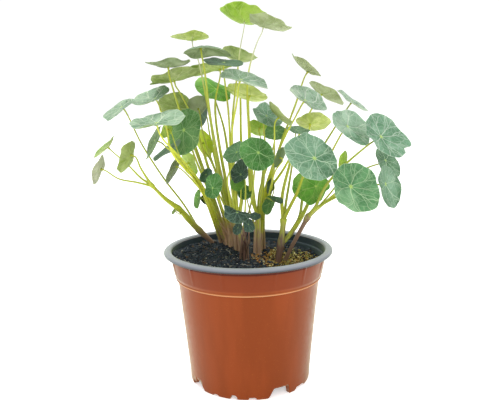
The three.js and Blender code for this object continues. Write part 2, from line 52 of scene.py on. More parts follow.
def linear(colour):
    # each channel: (c / 255) to the power 2.2
    return tuple((channel / 255) ** 2.2 for channel in colour[:3]) + (1.0,)


def addCamera(values):
    camera = bpy.data.objects.new("camera", bpy.data.cameras.new("camera"))
    camera.data.lens = values["lens"]
    camera.data.sensor_width = 36
    camera.data.clip_start = 0.01
    turn = Euler((radians(90 - values["pitch"]), 0, radians(-values["yaw"]))).to_matrix()
    turn = turn @ Matrix.Rotation(radians(values["roll"]), 3, "Z")
    camera.matrix_world = Matrix.Translation(values["place"]) @ turn.to_4x4()
    bpy.context.scene.collection.objects.link(camera)
    bpy.context.scene.camera = camera


def addLamp(name, place, target, side, watts):
    lamp = bpy.data.objects.new(name, bpy.data.lights.new(name, "AREA"))
    lamp.data.size = side
    lamp.data.energy = watts
    aim = (Vector(target) - Vector(place)).to_track_quat("-Z", "Y")
    lamp.matrix_world = Matrix.Translation(place) @ aim.to_matrix().to_4x4()
    bpy.context.scene.collection.objects.link(lamp)


def addSky(values):
    world = bpy.data.worlds.new("sky")
    bpy.context.scene.world = world
    world.use_nodes = True
    world.node_tree.nodes["Background"].inputs["Color"].default_value = linear(values["skyColour"])
    world.node_tree.nodes["Background"].inputs["Strength"].default_value = values["sky"]


addCamera(view)
addSky(studio)
for lamp in lamps:
    addLamp(*lamp)
bpy.context.scene.view_settings.view_transform = "Standard"
print("camera and light placed")


def addNode(tree, kind, inputs=None, **settings):
    # inputs: a name or a number of a socket, to a socket that feeds it or to its own value
    node = tree.nodes.new("ShaderNode" + kind)
    for name, value in settings.items():
        setattr(node, name, value)
    for name, value in (inputs or {}).items():
        if isinstance(value, bpy.types.NodeSocket):
            tree.links.new(value, node.inputs[name])
        else:
            node.inputs[name].default_value = value
    return node


def maths(tree, operation, *values):
    # the operation on one to three values, each a number or a socket
    node = addNode(tree, "Math", dict(enumerate(values)), operation=operation)
    return node.outputs[0]


def ramped(tree, value, low, high, start=0.0, end=1.0):
    # start below low, end above high, a smooth step between
    node = addNode(tree, "MapRange", {"Value": value, "From Min": low, "From Max": high,
                                      "To Min": start, "To Max": end}, interpolation_type="SMOOTHSTEP")
    return node.outputs["Result"]


def mixed(tree, share, first, second):
    # each of the two is a socket, or a colour from 0 to 255
    ends = [end if isinstance(end, bpy.types.NodeSocket) else linear(end) for end in (first, second)]
    return addNode(tree, "Mix", {0: share, 6: ends[0], 7: ends[1]}, data_type="RGBA").outputs[2]


def attribute(tree, name):
    return addNode(tree, "Attribute", attribute_name=name).outputs["Fac"]


def noise(tree, scale, detail=3.0, vector=None, roughness=0.5):
    # smooth noise over the place in the object, in metres, unless another vector is given
    vector = vector or addNode(tree, "TexCoord").outputs["Object"]
    inputs = {"Vector": vector, "Scale": scale, "Detail": detail, "Roughness": roughness}
    return addNode(tree, "TexNoise", inputs).outputs[0]


def streaked(tree, scale, tall):
    # noise drawn out along the height: the smaller tall is, the longer its streaks
    place = addNode(tree, "TexCoord").outputs["Object"]
    stretched = addNode(tree, "Mapping", {"Vector": place, "Scale": (1, 1, tall)}).outputs[0]
    return noise(tree, scale, 3, stretched)


def newFinish(name, roughness, specular=0.5):
    # a material, its tree and its main shader
    material = bpy.data.materials.new(name)
    material.use_nodes = True
    tree = material.node_tree
    shader = tree.nodes["Principled BSDF"]
    shader.inputs["Roughness"].default_value = roughness
    shader.inputs["Specular IOR Level"].default_value = specular
    return material, tree, shader


def addBump(tree, shader, height, distance, strength=1.0):
    # height is a socket, distance is in metres
    bump = addNode(tree, "Bump", {"Height": height, "Distance": distance, "Strength": strength})
    tree.links.new(bump.outputs[0], shader.inputs["Normal"])


def addGlow(tree, shader, share, colour):
    # this share of the light passes through the surface, in this colour
    glow = addNode(tree, "BsdfTranslucent", {"Color": colour}).outputs[0]
    both = addNode(tree, "MixShader", {0: share, 1: shader.outputs[0], 2: glow}).outputs[0]
    tree.links.new(both, tree.nodes["Material Output"].inputs["Surface"])


def closedRings(rings, columns):
    # faces of a closed surface: one point, then rings of points, then one point
    here = np.arange(columns)
    after = (here + 1) % columns
    start = 1 + columns * np.arange(rings - 1)[:, None]
    sides = np.stack([start + here, start + columns + here, start + columns + after, start + after], -1)
    last = 1 + columns * (rings - 1)
    caps = np.vstack([np.stack([0 * here, 1 + here, 1 + after], -1),
                      np.stack([0 * here + 1 + columns * rings, last + after, last + here], -1)])
    return sides.reshape(-1, 4), caps


def surface(points, faces, **values):
    # points in millimetres, faces in blocks of one kind, and named values for each point
    return {"points": np.asarray(points, float), "faces": list(faces), "values": values}


def joined(parts):
    # one surface from many, with the same named values for each point
    start = np.cumsum([0] + [len(part["points"]) for part in parts])
    faces = [block + first for part, first in zip(parts, start) for block in part["faces"]]
    values = {name: np.concatenate([part["values"][name] for part in parts]) for name in parts[0]["values"]}
    return {"points": np.vstack([part["points"] for part in parts]), "faces": faces, "values": values}


def meshOf(name, part, lift=0.0):
    # the part's points, raised by lift and turned from millimetres to metres
    mesh = bpy.data.meshes.new(name)
    faces = [face for block in part["faces"] for face in block.tolist()]
    mesh.from_pydata(((part["points"] + (0, 0, lift)) * millimetre).tolist(), [], faces)
    return mesh


def shown(name, mesh):
    # a new object of the mesh, linked to the scene
    thing = bpy.data.objects.new(name, mesh)
    bpy.context.scene.collection.objects.link(thing)
    return thing


def addPiece(name, part, material, slot, *nodes, lift=footDrop):
    # the part's values become point attributes, and its map becomes the UV map
    mesh = meshOf(name, part, lift)
    for key, value in part["values"].items():
        if key == "map":
            corners = np.zeros(len(mesh.loops), int)
            mesh.loops.foreach_get("vertex_index", corners)
            layer = mesh.uv_layers.new(name="map")
            layer.data.foreach_set("uv", value[corners].astype(np.float32).ravel())
        else:
            layer = mesh.attributes.new(key, "FLOAT", "POINT")
            layer.data.foreach_set("value", value.astype(np.float32))
    mesh.shade_smooth()
    mesh.materials.append(material)
    piece = shown(name, mesh)
    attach(piece, "root")
    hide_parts(*nodes)
    return piece


def unit(vectors):
    # each vector divided by its length
    return vectors / np.linalg.norm(vectors, axis=-1, keepdims=True)


def bump(off, width):
    # a smooth hump of the given half width, about off = 0, in degrees round the circle
    return np.exp(-(((off + 180) % 360 - 180) / width) ** 2)


def smoothWay(points, count):
    # centripetal Catmull-Rom curve through the points, then cut into count equal steps; its slope at a
    # point is weighed from the chords beside it, with the roots of their lengths
    knots = np.asarray(points, float)
    knots = np.vstack([2 * knots[0] - knots[1], knots, 2 * knots[-1] - knots[-2]])
    pace = np.sqrt(np.linalg.norm(np.diff(knots, axis=0), axis=1))[:, None]
    before, here, there, beyond = knots[:-3], knots[1:-2], knots[2:-1], knots[3:]
    paceBefore, paceHere, paceAfter = pace[:-2], pace[1:-1], pace[2:]
    leave = ((here - before) / paceBefore - (there - before) / (paceBefore + paceHere)
             + (there - here) / paceHere) * paceHere
    arrive = ((there - here) / paceHere - (beyond - here) / (paceHere + paceAfter)
              + (beyond - there) / paceAfter) * paceHere
    t = np.linspace(0, 1, 24, endpoint=False)[None, :, None]
    here, there, leave, arrive = (v[:, None, :] for v in (here, there, leave, arrive))
    way = (here * (2 * t ** 3 - 3 * t ** 2 + 1) + leave * (t ** 3 - 2 * t ** 2 + t)
           + there * (3 * t ** 2 - 2 * t ** 3) + arrive * (t ** 3 - t ** 2)).reshape(-1, 3)
    way = np.vstack([way, knots[-2]])
    run = np.concatenate([[0], np.cumsum(np.linalg.norm(np.diff(way, axis=0), axis=1))])
    even = np.linspace(0, run[-1], count + 1)
    return np.stack([np.interp(even, run, way[:, k]) for k in range(3)], -1), run[-1]


def tube(path, radius, sides, **values):
    # rings of the given radius square to the path, closed at both ends
    run = unit(np.gradient(path, axis=0))
    side = unit(np.cross(run, (0.12, 1, 0.05)))
    up = np.cross(side, run)
    turn = np.linspace(0, 2 * pi, sides, endpoint=False)[None, :, None]
    circle = np.cos(turn) * side[:, None] + np.sin(turn) * up[:, None]
    rings = path[:, None] + radius[:, None, None] * circle
    tips = path[[0, -1]] + run[[0, -1]] * radius[[0, -1], None] * np.array([[-0.5], [0.5]])
    points = np.vstack([tips[:1], rings.reshape(-1, 3), tips[1:]])
    spread = {k: np.concatenate([v[:1], np.repeat(v, sides), v[-1:]]) for k, v in values.items()}
    return surface(points, closedRings(len(path), sides), **spread)


def addFloor(values):
    material, tree, shader = newFinish("floorPaper", 0.9, 0.1)
    shader.inputs["Base Color"].default_value = linear(values["floor"])
    shader.inputs["Emission Color"].default_value = linear(values["floor"])
    shader.inputs["Emission Strength"].default_value = values["floorGlow"]
    half = 4.0  # metres
    corners = [(-half, -half, 0), (half, -half, 0), (half, half, 0), (-half, half, 0)]
    mesh = bpy.data.meshes.new("floor")
    mesh.from_pydata(corners, [], [(0, 1, 2, 3)])
    mesh.materials.append(material)
    floor = shown("floor", mesh)


addFloor(studio)

# the pot: its profile as (radius, height), outside from the foot up and inside from the lip down, in mm
potShape = {
    "columns": 360, "outsideCut": 0.5, "insideCut": 0.4, "longSide": 20,
    "outside": [(42.6, 0), (46.2, 0), (46.7, 0.7), (46.9, 3), (47.3, 9.5), (50.9, 45.6), (54.6, 81.4),
                (55.4, 81.7), (56.3, 82.1), (56.3, 82.7), (55.8, 83.3), (57.2, 85.8), (59.54, 97.9),
                (59.8, 99.2), (60.2, 100.4), (63.8, 100.9), (64.7, 101.3), (65.0, 102.3), (64.6, 103.2),
                (63.4, 104), (61.8, 104.3), (60.4, 104.2)],
    "inside": [(59.4, 103.5), (58.9, 102.1), (58.8, 97.4), (58.3, 97.0), (57.6, 96.6), (56.1, 86.1),
               (55.0, 84.7), (53.8, 83.3), (46.5, 9.5), (44, 9.5), (20, 9.5), (0.4, 9.5), (0.4, 8.3),
               (20, 8.3), (41.8, 8.3), (42.5, 7.3)],
    # openings in the foot ring: middle, width and height, and how wide the slopes at its two ends are
    "arches": [(27.4, 23.6, 7.4, 7, 2), (105, 18, 7, 3, 3), (180, 18, 7, 3, 3), (235, 18, 7, 3, 3),
               (-54, 15.4, 7, 1, 8.7), (-98, 12, 7, 3, 3), (-64.7, 9, 4, 1, 1), (-33.7, 7, 1.6, 1.5, 1.5),
               (-15.4, 7.6, 3.5, 2, 2), (1.7, 8.4, 2.0, 1.5, 1.5), (55, 18, 2.6, 2, 6),
               (84, 4, 1.6, 1.2, 1.2), (130, 4, 2, 1.2, 1.2), (146, 5, 1.6, 1.2, 1.2),
               (208, 4, 2, 1.2, 1.2)],
    "footOut": 42, "footUp": 8,  # the foot ring's edge lies beyond this radius and under this height
    # ribs: their angles, their height and half width, and the radii and heights of the strip they stand on
    "ribs": [-43.6, -18.4, 5.5, 18.3, 42.3, 66, 92, 118, 141, 165, 190, 216, 243, 268, 291],
    "ribHigh": 0.7, "ribWide": 0.7, "ribStrip": (59.2, 60.5, 97, 100.6),
    # where the colours change, by radius (Out) and height (Up), and how wide they fade
    "lipOut": 60.8, "lipUp": 102.5, "topUp": 104, "lowUp": 103.9, "lowFade": 2.4,
    "liningOut": 59.2, "liningUp": 102.6, "plateOut": 41, "plateUp": 9,
    "ridgeOut": 55.5, "ridgeUp": 82.4, "ridgeFade": 0.5, "shadeOut": 59.2, "shadeUp": 98.3,
    "bandOut": 57.0, "bandUp": 84, "bandFade": 2,
    # drain holes: how many, their radius, the circle they stand on, and the heights they are cut between
    "holes": 5, "holeRadius": 4.0, "holeCircle": 32.0, "drill": (7, 11),
    # the wall's colours: the pale ridge colour is a painted highlight, the dark colour just under the lip a
    # painted shadow, and the lip's darker low colour painted shade
    "wall": (132, 62, 28), "wallShade": (122, 57, 24), "wallPale": (166, 100, 40), "lip": (151, 155, 164),
    "lipShade": (46, 50, 56), "lining": (56, 68, 76), "band": (116, 52, 28), "ridgeHighlight": (222, 160, 110),
    "shade": (72, 26, 18), "sheenTint": (186, 204, 160), "sheen": 0.6, "sheenRough": 0.36,
    "marks": {"band": 0.8, "ridgeHighlight": 0.65, "shade": 0.85},  # how strongly each is laid over the wall's colour
}


def cornersCut(profile, most):
    # every corner is cut at a quarter of each side or at most this far from it, then once more at half
    line = np.asarray(profile, float)
    for reach in (most, most / 2):
        step = np.diff(line, axis=0)
        length = np.linalg.norm(step, axis=1, keepdims=True)
        cut = np.minimum(0.25 * length, reach) / length
        corners = np.stack([line[:-1] + cut * step, line[1:] - cut * step], 1).reshape(-1, 2)
        line = np.vstack([line[:1], corners, line[-1:]])
    return line


def footLift(turn, shape):
    # how far the foot ring's edge is raised at each angle, in degrees from the front
    lift = np.zeros_like(turn)
    for middle, width, height, left, right in shape["arches"]:
        off = (turn - middle + 180) % 360 - 180
        up = np.clip((off + width / 2) / left, 0, 1)
        down = np.clip((width / 2 - off) / right, 0, 1)
        smooth = np.minimum(up, down)
        lift = np.maximum(lift, height * smooth ** 2 * (3 - 2 * smooth))
    return lift


def potSurface(shape):
    # a profile turned about the pot's axis; the foot's low points are lifted over the openings, and
    # small ribs stand out under the lip
    outside = cornersCut(shape["outside"], shape["outsideCut"])
    inside = cornersCut(shape["inside"], shape["insideCut"])
    profile = np.vstack([outside, inside, outside[:1]])
    steps = np.linspace(0, 1, 7)[1:-1, None]  # a long side is cut into six
    rows = [profile[:1]]
    for start, end in zip(profile[:-1], profile[1:]):
        if np.linalg.norm(end - start) > shape["longSide"]:
            rows.append(start + steps * (end - start))
        rows.append(end[None])
    profile = np.vstack(rows)[:-1]
    out, up = profile.T
    turn = np.linspace(0, 360, shape["columns"], endpoint=False)
    radius = out[:, None] + 0 * turn
    height = up[:, None] + 0 * turn
    foot = (out > shape["footOut"]) & (up < shape["footUp"])
    height[foot] = np.maximum(height[foot], footLift(turn, shape))
    outFrom, outTo, upFrom, upTo = shape["ribStrip"]
    strip = (out > outFrom) & (out < outTo) & (up > upFrom) & (up < upTo)
    for middle in shape["ribs"]:
        radius[strip] += shape["ribHigh"] * bump(turn - middle, shape["ribWide"])
    angle = np.radians(turn)[None]
    points = np.stack([radius * np.sin(angle), -radius * np.cos(angle), height], -1)
    size = shape["columns"]
    here = size * np.arange(len(profile))[:, None]
    after = np.roll(here, -1, axis=0)
    column = np.arange(size)[None]
    following = (column + 1) % size
    faces = np.stack([here + column, here + following, after + following, after + column], -1)
    order = np.arange(len(profile))
    outer = order < len(outside)
    lip = (out > shape["lipOut"]) | (up > shape["lipUp"])
    lining = (order > np.argmax(up > shape["topUp"])) & (up <= shape["liningUp"]) & (out < shape["liningOut"])
    lining &= (up >= shape["plateUp"]) | (out <= shape["plateOut"])
    # painted highlight: a pale line along the ridge, where light catches its edge
    ridgeHighlight = np.exp(-((up - shape["ridgeUp"]) / shape["ridgeFade"]) ** 2) * (out > shape["ridgeOut"])
    shade = (up > shape["shadeUp"]) & (out > shape["shadeOut"]) & ~lip
    stepped = (out > shape["bandOut"]) & outer & ~lip
    band = np.clip((up - shape["bandUp"]) / shape["bandFade"], 0, 1) * stepped
    # painted shade: the lip grows darker towards its lower outer edge
    low = np.clip((shape["lowUp"] - up) / shape["lowFade"], 0, 1) * (lip & outer)
    values = {"lip": lip, "lining": lining, "ridgeHighlight": ridgeHighlight, "shade": shade, "band": band, "low": low}
    spread = {name: np.repeat(value.astype(float), size) for name, value in values.items()}
    return surface(points.reshape(-1, 3), [faces.reshape(-1, 4)], **spread)


def potFinish(shape):
    # the wall with streaks and scuffs, over it the band, a painted highlight on the ridge and a painted
    # shadow under the lip; then the lip, with painted shade on its lower part, and the lining
    material, tree, shader = newFinish("potPlastic", 0.42, 0.1)
    shader.inputs["Sheen Weight"].default_value = shape["sheen"]
    shader.inputs["Sheen Roughness"].default_value = shape["sheenRough"]
    shader.inputs["Sheen Tint"].default_value = linear(shape["sheenTint"])
    streaks = streaked(tree, 60, 0.15)
    wall = mixed(tree, ramped(tree, streaks, 0.35, 0.65), shape["wall"], shape["wallShade"])
    scuffs = noise(tree, 900, 2)
    wall = mixed(tree, ramped(tree, scuffs, 0.62, 0.78, 0, 0.25), wall, shape["wallPale"])
    for mark, strength in shape["marks"].items():
        # laid over the wall: the band, the ridge's painted highlight and the painted shadow under the lip
        wall = mixed(tree, maths(tree, "MULTIPLY", attribute(tree, mark), strength), wall, shape[mark])
    # painted shade on the lip's lower part
    lip = mixed(tree, attribute(tree, "low"), shape["lip"], shape["lipShade"])
    colour = mixed(tree, attribute(tree, "lip"), wall, lip)
    colour = mixed(tree, attribute(tree, "lining"), colour, shape["lining"])
    tree.links.new(colour, shader.inputs["Base Color"])
    rough = ramped(tree, noise(tree, 250, 3), 0.3, 0.7, 0.3, 0.42)
    tree.links.new(rough, shader.inputs["Roughness"])
    addBump(tree, shader, noise(tree, 700, 2), 0.0001, 0.25)
    return material


def cutHoles(pot, shape):
    # round drain holes through the base plate, evenly spaced on a circle
    drills = []
    for k in range(shape["holes"]):
        turn = (k + 0.5) * 2 * pi / shape["holes"]
        middle = np.array([np.cos(turn), np.sin(turn), 0]) * shape["holeCircle"]
        path = np.array([middle + (0, 0, high) for high in shape["drill"]])
        drills.append(tube(path, np.full(2, shape["holeRadius"]), 32))
    cutter = shown("drills", meshOf("drills", joined(drills)))
    modifier = pot.modifiers.new("holes", "BOOLEAN")
    modifier.operation = "DIFFERENCE"
    modifier.solver = "EXACT"
    modifier.object = cutter
    bpy.context.view_layer.objects.active = pot
    bpy.ops.object.modifier_apply(modifier="holes")
    bpy.data.objects.remove(cutter)
    pot.data.shade_smooth()


pot = addPiece("nurseryPot", potSurface(potShape), potFinish(potShape), "pot_plastic", "pot", lift=0)
cutHoles(pot, potShape)
print("pot made")

# the peat: its level and its fall to the right, a mound as (x, y, rise, spread), and what lies on it
soilShape = {
    "rings": 90, "columns": 260, "level": 94.4, "fall": 0.055, "mound": (-14, -34, 2.2, 500),
    # the pot's inside as heights and radii, the gap to it, and the rings (radius, height) down to the bottom
    "inside": ((84.4, 98.2), (56.1, 58.7)), "gap": 0.15, "bottom": 8.2,
    "low": ((55.8, 84.8), (53.4, 82), (46.2, 8.2), (20, 8.2)),
    "roughness": 1.1, "crumbs": 1500, "crumbReach": 55.5, "fibres": 300, "fibreReach": 53, "seed": 5,
    "peat": (28, 36, 42), "peatLight": (84, 94, 102), "brown": (84, 70, 54), "fibre": (186, 184, 166),
}


def soilTop(x, y):
    # a slope down to the right, a low mound at the front and a shallow ripple
    slope = soilShape["level"] - soilShape["fall"] * x
    east, north, rise, spread = soilShape["mound"]
    mound = rise * np.exp(-((x - east) ** 2 + (y - north) ** 2) / spread)
    return slope + mound + 0.7 * np.sin(0.21 * x + 1.3) * np.cos(0.17 * y)


def lumps(x, y, seed):
    # waves of ever smaller length in random directions, added with ever smaller heights
    draw = np.random.default_rng(seed)
    total = np.zeros_like(x)
    for octave in range(26):
        pitch = 0.18 * 1.16 ** octave
        turn, phase = draw.uniform(0, 2 * pi, 2)
        total += np.sin(pitch * (x * np.cos(turn) + y * np.sin(turn)) + phase) / (1 + 0.13 * octave)
    return total / 4


def soilHeight(x, y, shape):
    # the smooth top, with lumps on it and the unsigned height of other, finer lumps
    rough = lumps(x, y, shape["seed"])
    fine = np.abs(lumps(x * 1.7, y * 1.7, shape["seed"] + 1))
    return soilTop(x, y) + shape["roughness"] * (rough + 0.6 * fine)


def wallInside(height):
    # the pot's inner radius above its step, less the gap
    return np.interp(height, *soilShape["inside"]) - soilShape["gap"]


def soilSurface(shape):
    # top from the middle out to the wall, then down the wall and in under the bottom
    turn = np.linspace(0, 2 * pi, shape["columns"], endpoint=False)[None]
    edge = wallInside(soilTop(58 * np.cos(turn), 58 * np.sin(turn)))
    share = (np.arange(1, shape["rings"] + 1) / shape["rings"])[:, None] ** 0.9
    x, y = share * edge * np.cos(turn), share * edge * np.sin(turn)
    top = np.stack([x, y, soilHeight(x, y, shape)], -1)
    sides = [np.stack([r * np.cos(turn), r * np.sin(turn), 0 * turn + z], -1) for r, z in shape["low"]]
    rings = np.concatenate([top] + sides)
    centre = soilHeight(np.zeros(1), np.zeros(1), shape)[0]
    points = np.vstack([[[0, 0, centre]], rings.reshape(-1, 3), [[0, 0, shape["bottom"]]]])
    draw = np.random.default_rng(shape["seed"])
    tone = 0.35 * draw.random(len(points))
    return surface(points, closedRings(len(rings), shape["columns"]), tone=tone)


def pebbles(places, sizes, tones, draw, flat=0.75):
    # small closed lumps: three rings of six points about each place, each point moved a little
    rings, columns = 3, 6
    tilt = np.linspace(0, pi, rings + 2)[1:-1]
    turn = np.linspace(0, 2 * pi, columns, endpoint=False)
    ring = np.stack([np.sin(tilt)[:, None] * np.cos(turn), np.sin(tilt)[:, None] * np.sin(turn),
                     np.cos(tilt)[:, None] + 0 * turn], -1).reshape(-1, 3)
    ball = np.vstack([[[0, 0, 1]], ring, [[0, 0, -1]]])
    count, each = len(places), len(ball)
    stretch = draw.uniform(0.75, 1.25, (count, 1, 3)) * (1, 1, flat)
    moved = draw.uniform(0.8, 1.15, (count, each, 1))
    points = places[:, None] + sizes[:, None, None] * ball[None] * stretch * moved
    sides, caps = closedRings(rings, columns)
    shift = each * np.arange(count)[:, None, None]
    faces = [(sides[None] + shift).reshape(-1, 4), (caps[None] + shift).reshape(-1, 3)]
    return surface(points.reshape(-1, 3), faces, tone=np.repeat(tones, each))


def soilLitter(shape):
    # crumbs that sit on the peat, and thin bent fibres that lie on it
    draw = np.random.default_rng(shape["seed"] + 2)
    turn = draw.uniform(0, 2 * pi, shape["crumbs"])
    reach = shape["crumbReach"] * np.sqrt(draw.random(shape["crumbs"]))
    x, y = reach * np.cos(turn), reach * np.sin(turn)
    sizes = draw.gamma(3, 0.24, shape["crumbs"]).clip(0.25, 1.9)
    places = np.stack([x, y, soilHeight(x, y, shape) + 0.3 * sizes], -1)
    parts = [pebbles(places, sizes, draw.random(len(x)) ** 3 * (1.3 - 0.4 * sizes), draw)]
    for _ in range(shape["fibres"]):
        turn = draw.uniform(0, 2 * pi)
        reach = shape["fibreReach"] * np.sqrt(draw.random())
        heading = draw.uniform(0, pi)
        length, bend = draw.uniform(2, 9), draw.uniform(-0.3, 0.3)
        t = np.linspace(-0.5, 0.5, 8)
        x = reach * np.cos(turn) + length * (t * np.cos(heading) - bend * (t ** 2) * np.sin(heading))
        y = reach * np.sin(turn) + length * (t * np.sin(heading) + bend * (t ** 2) * np.cos(heading))
        inside = np.minimum(1, shape["crumbReach"] / np.hypot(x, y))
        x, y = x * inside, y * inside
        path = np.stack([x, y, soilHeight(x, y, shape) + 0.35 + draw.uniform(0, 0.7) * t], -1)
        thick = draw.uniform(0.08, 0.2)
        parts.append(tube(path, thick * (1 - 1.2 * t ** 2), 5, tone=np.full(8, draw.uniform(0.4, 1.3))))
    return joined(parts)


def soilFinish(shape):
    # dark peat with a paler grain; the tone of each point leads over brown to the pale of a fibre
    material, tree, shader = newFinish("peat", 0.9, 0.25)
    tone = attribute(tree, "tone")
    grain = ramped(tree, noise(tree, 700, 4), 0.4, 0.7)
    peat = mixed(tree, maths(tree, "MULTIPLY", grain, 0.6), shape["peat"], shape["peatLight"])
    colour = mixed(tree, ramped(tree, tone, 0.35, 0.75), peat, shape["brown"])
    colour = mixed(tree, ramped(tree, tone, 0.8, 1.1), colour, shape["fibre"])
    tree.links.new(colour, shader.inputs["Base Color"])
    addBump(tree, shader, noise(tree, 1200, 4), 0.0006, 0.6)
    return material


peat = joined([soilSurface(soilShape), soilLitter(soilShape)])
addPiece("peat", peat, soilFinish(soilShape), "peat", "soil")
print("soil made")

# the moss: the middle and the half widths of its patch in mm, its cushion's share of them, how high the
# cushion's dome is and how deep it is sunk
mossShape = {
    "middle": (29, -2), "reach": (27, 31), "wallReach": 55, "cushion": 0.78, "dome": 2.2, "sunk": 1.0,
    "rings": 22, "columns": 72, "grains": 4600, "seed": 11,
    "gold": (176, 140, 72), "green": (148, 148, 78), "pale": (232, 220, 160), "dark": (40, 34, 26),
    "orange": (184, 118, 60),
}


def mossSurface(shape):
    # a low cushion, domed at its middle, under many round grains, thickest at the middle
    draw = np.random.default_rng(shape["seed"])
    rings, columns = shape["rings"], shape["columns"]
    turn = np.linspace(0, 2 * pi, columns, endpoint=False)[None]
    share = (np.arange(1, rings + 1) / rings)[:, None]
    edge = shape["cushion"] * (1 + 0.13 * np.sin(3 * turn + 1) + 0.08 * np.sin(7 * turn))
    layers = []
    for lift in (1, 0):
        run = share if lift else share[::-1]
        x = shape["middle"][0] + run * edge * shape["reach"][0] * np.cos(turn)
        y = shape["middle"][1] + run * edge * shape["reach"][1] * np.sin(turn)
        dome = shape["dome"] * (1 - run ** 2) + 0.5 * lumps(x * 2, y * 2, 9) * (1 - run ** 4)
        layers.append(np.stack([x, y, soilHeight(x, y, soilShape) + lift * dome - shape["sunk"]], -1))
    rim = np.concatenate(layers)
    ends = [np.array([[*shape["middle"], soilTop(*shape["middle"]) + z]]) for z in (1.6, -1.2)]
    points = np.vstack([ends[0], rim.reshape(-1, 3), ends[1]])
    cushion = surface(points, closedRings(2 * rings, columns), tone=0.35 + 0.3 * draw.random(len(points)))
    turn = draw.uniform(0, 2 * pi, shape["grains"])
    reach = draw.random(shape["grains"]) ** 0.6
    x = shape["middle"][0] + reach * shape["reach"][0] * np.cos(turn)
    y = shape["middle"][1] + reach * shape["reach"][1] * np.sin(turn)
    kept = np.hypot(x, y) < shape["wallReach"]
    x, y, reach = x[kept], y[kept], reach[kept]
    dome = np.clip(1.3 - 2.1 * reach ** 2, 0.1, 2) * draw.uniform(0.6, 1.3, len(x))
    sizes = draw.gamma(4, 0.1, len(x)).clip(0.2, 0.9)
    places = np.stack([x, y, soilHeight(x, y, soilShape) + dome], -1)
    return joined([cushion, pebbles(places, sizes, draw.random(len(x)), draw, 0.9)])


def mossFinish(shape):
    # the tone of each point leads from dark over gold and green to pale; more orange at the left, greener
    # at the right, with a dark grain
    material, tree, shader = newFinish("moss", 0.85, 0.2)
    tone = attribute(tree, "tone")
    grain = noise(tree, 500, 3)
    right = addNode(tree, "SeparateXYZ", {0: addNode(tree, "TexCoord").outputs["Object"]}).outputs[0]
    gold = mixed(tree, ramped(tree, right, 0.008, 0.02), shape["orange"], shape["gold"])
    colour = mixed(tree, ramped(tree, tone, 0.2, 0.5), shape["dark"], gold)
    green = maths(tree, "MULTIPLY", ramped(tree, tone, 0.45, 0.7), ramped(tree, right, 0.01, 0.035, 0.3, 1))
    colour = mixed(tree, green, colour, shape["green"])
    colour = mixed(tree, ramped(tree, tone, 0.86, 0.96), colour, shape["pale"])
    colour = mixed(tree, ramped(tree, grain, 0.45, 0.7, 0, 0.55), colour, shape["dark"])
    tree.links.new(colour, shader.inputs["Base Color"])
    addBump(tree, shader, noise(tree, 1500, 3), 0.0005, 0.7)
    return material


addPiece("moss", mossSurface(mossShape), mossFinish(mossShape), "moss", "moss")
print("moss made")

# the blades: their usual radius in mm, after which waves and ribs are sized; ripple, crinkle and waves
# are rows of (count round the hub, height, number of the phase)
leafShape = {
    "rings": 17, "columns": 108, "usual": 15, "hubOffset": 0.18, "veins": 8, "thickness": 0.5,
    "youngCup": 0.6, "trim": 0.02, "scallop": 0.035, "ripple": ((3, 0.016, 2), (5, 0.012, 3)),
    "crinkle": ((11, 0.009, 4), (17, 0.006, 5)), "wave": 0.65, "waves": ((3, 1, 4), (5, 0.6, 5)),
    "quilt": 0.4, "rib": 0.22, "ribWide": 0.045,
    # forks of a vein: its side, its start and the start's spread, and its slope; nets: scale and strength
    "forks": ((1, 0.3, 0.25, 0.42), (-1, 0.42, 0.2, 0.5), (1, 0.62, 0.15, 0.75)),
    "nets": ((4.2, 0.42), (9, 0.2)),
    "heart": (192, 224, 112), "glow": (196, 222, 90), "glowShare": 0.3,
}

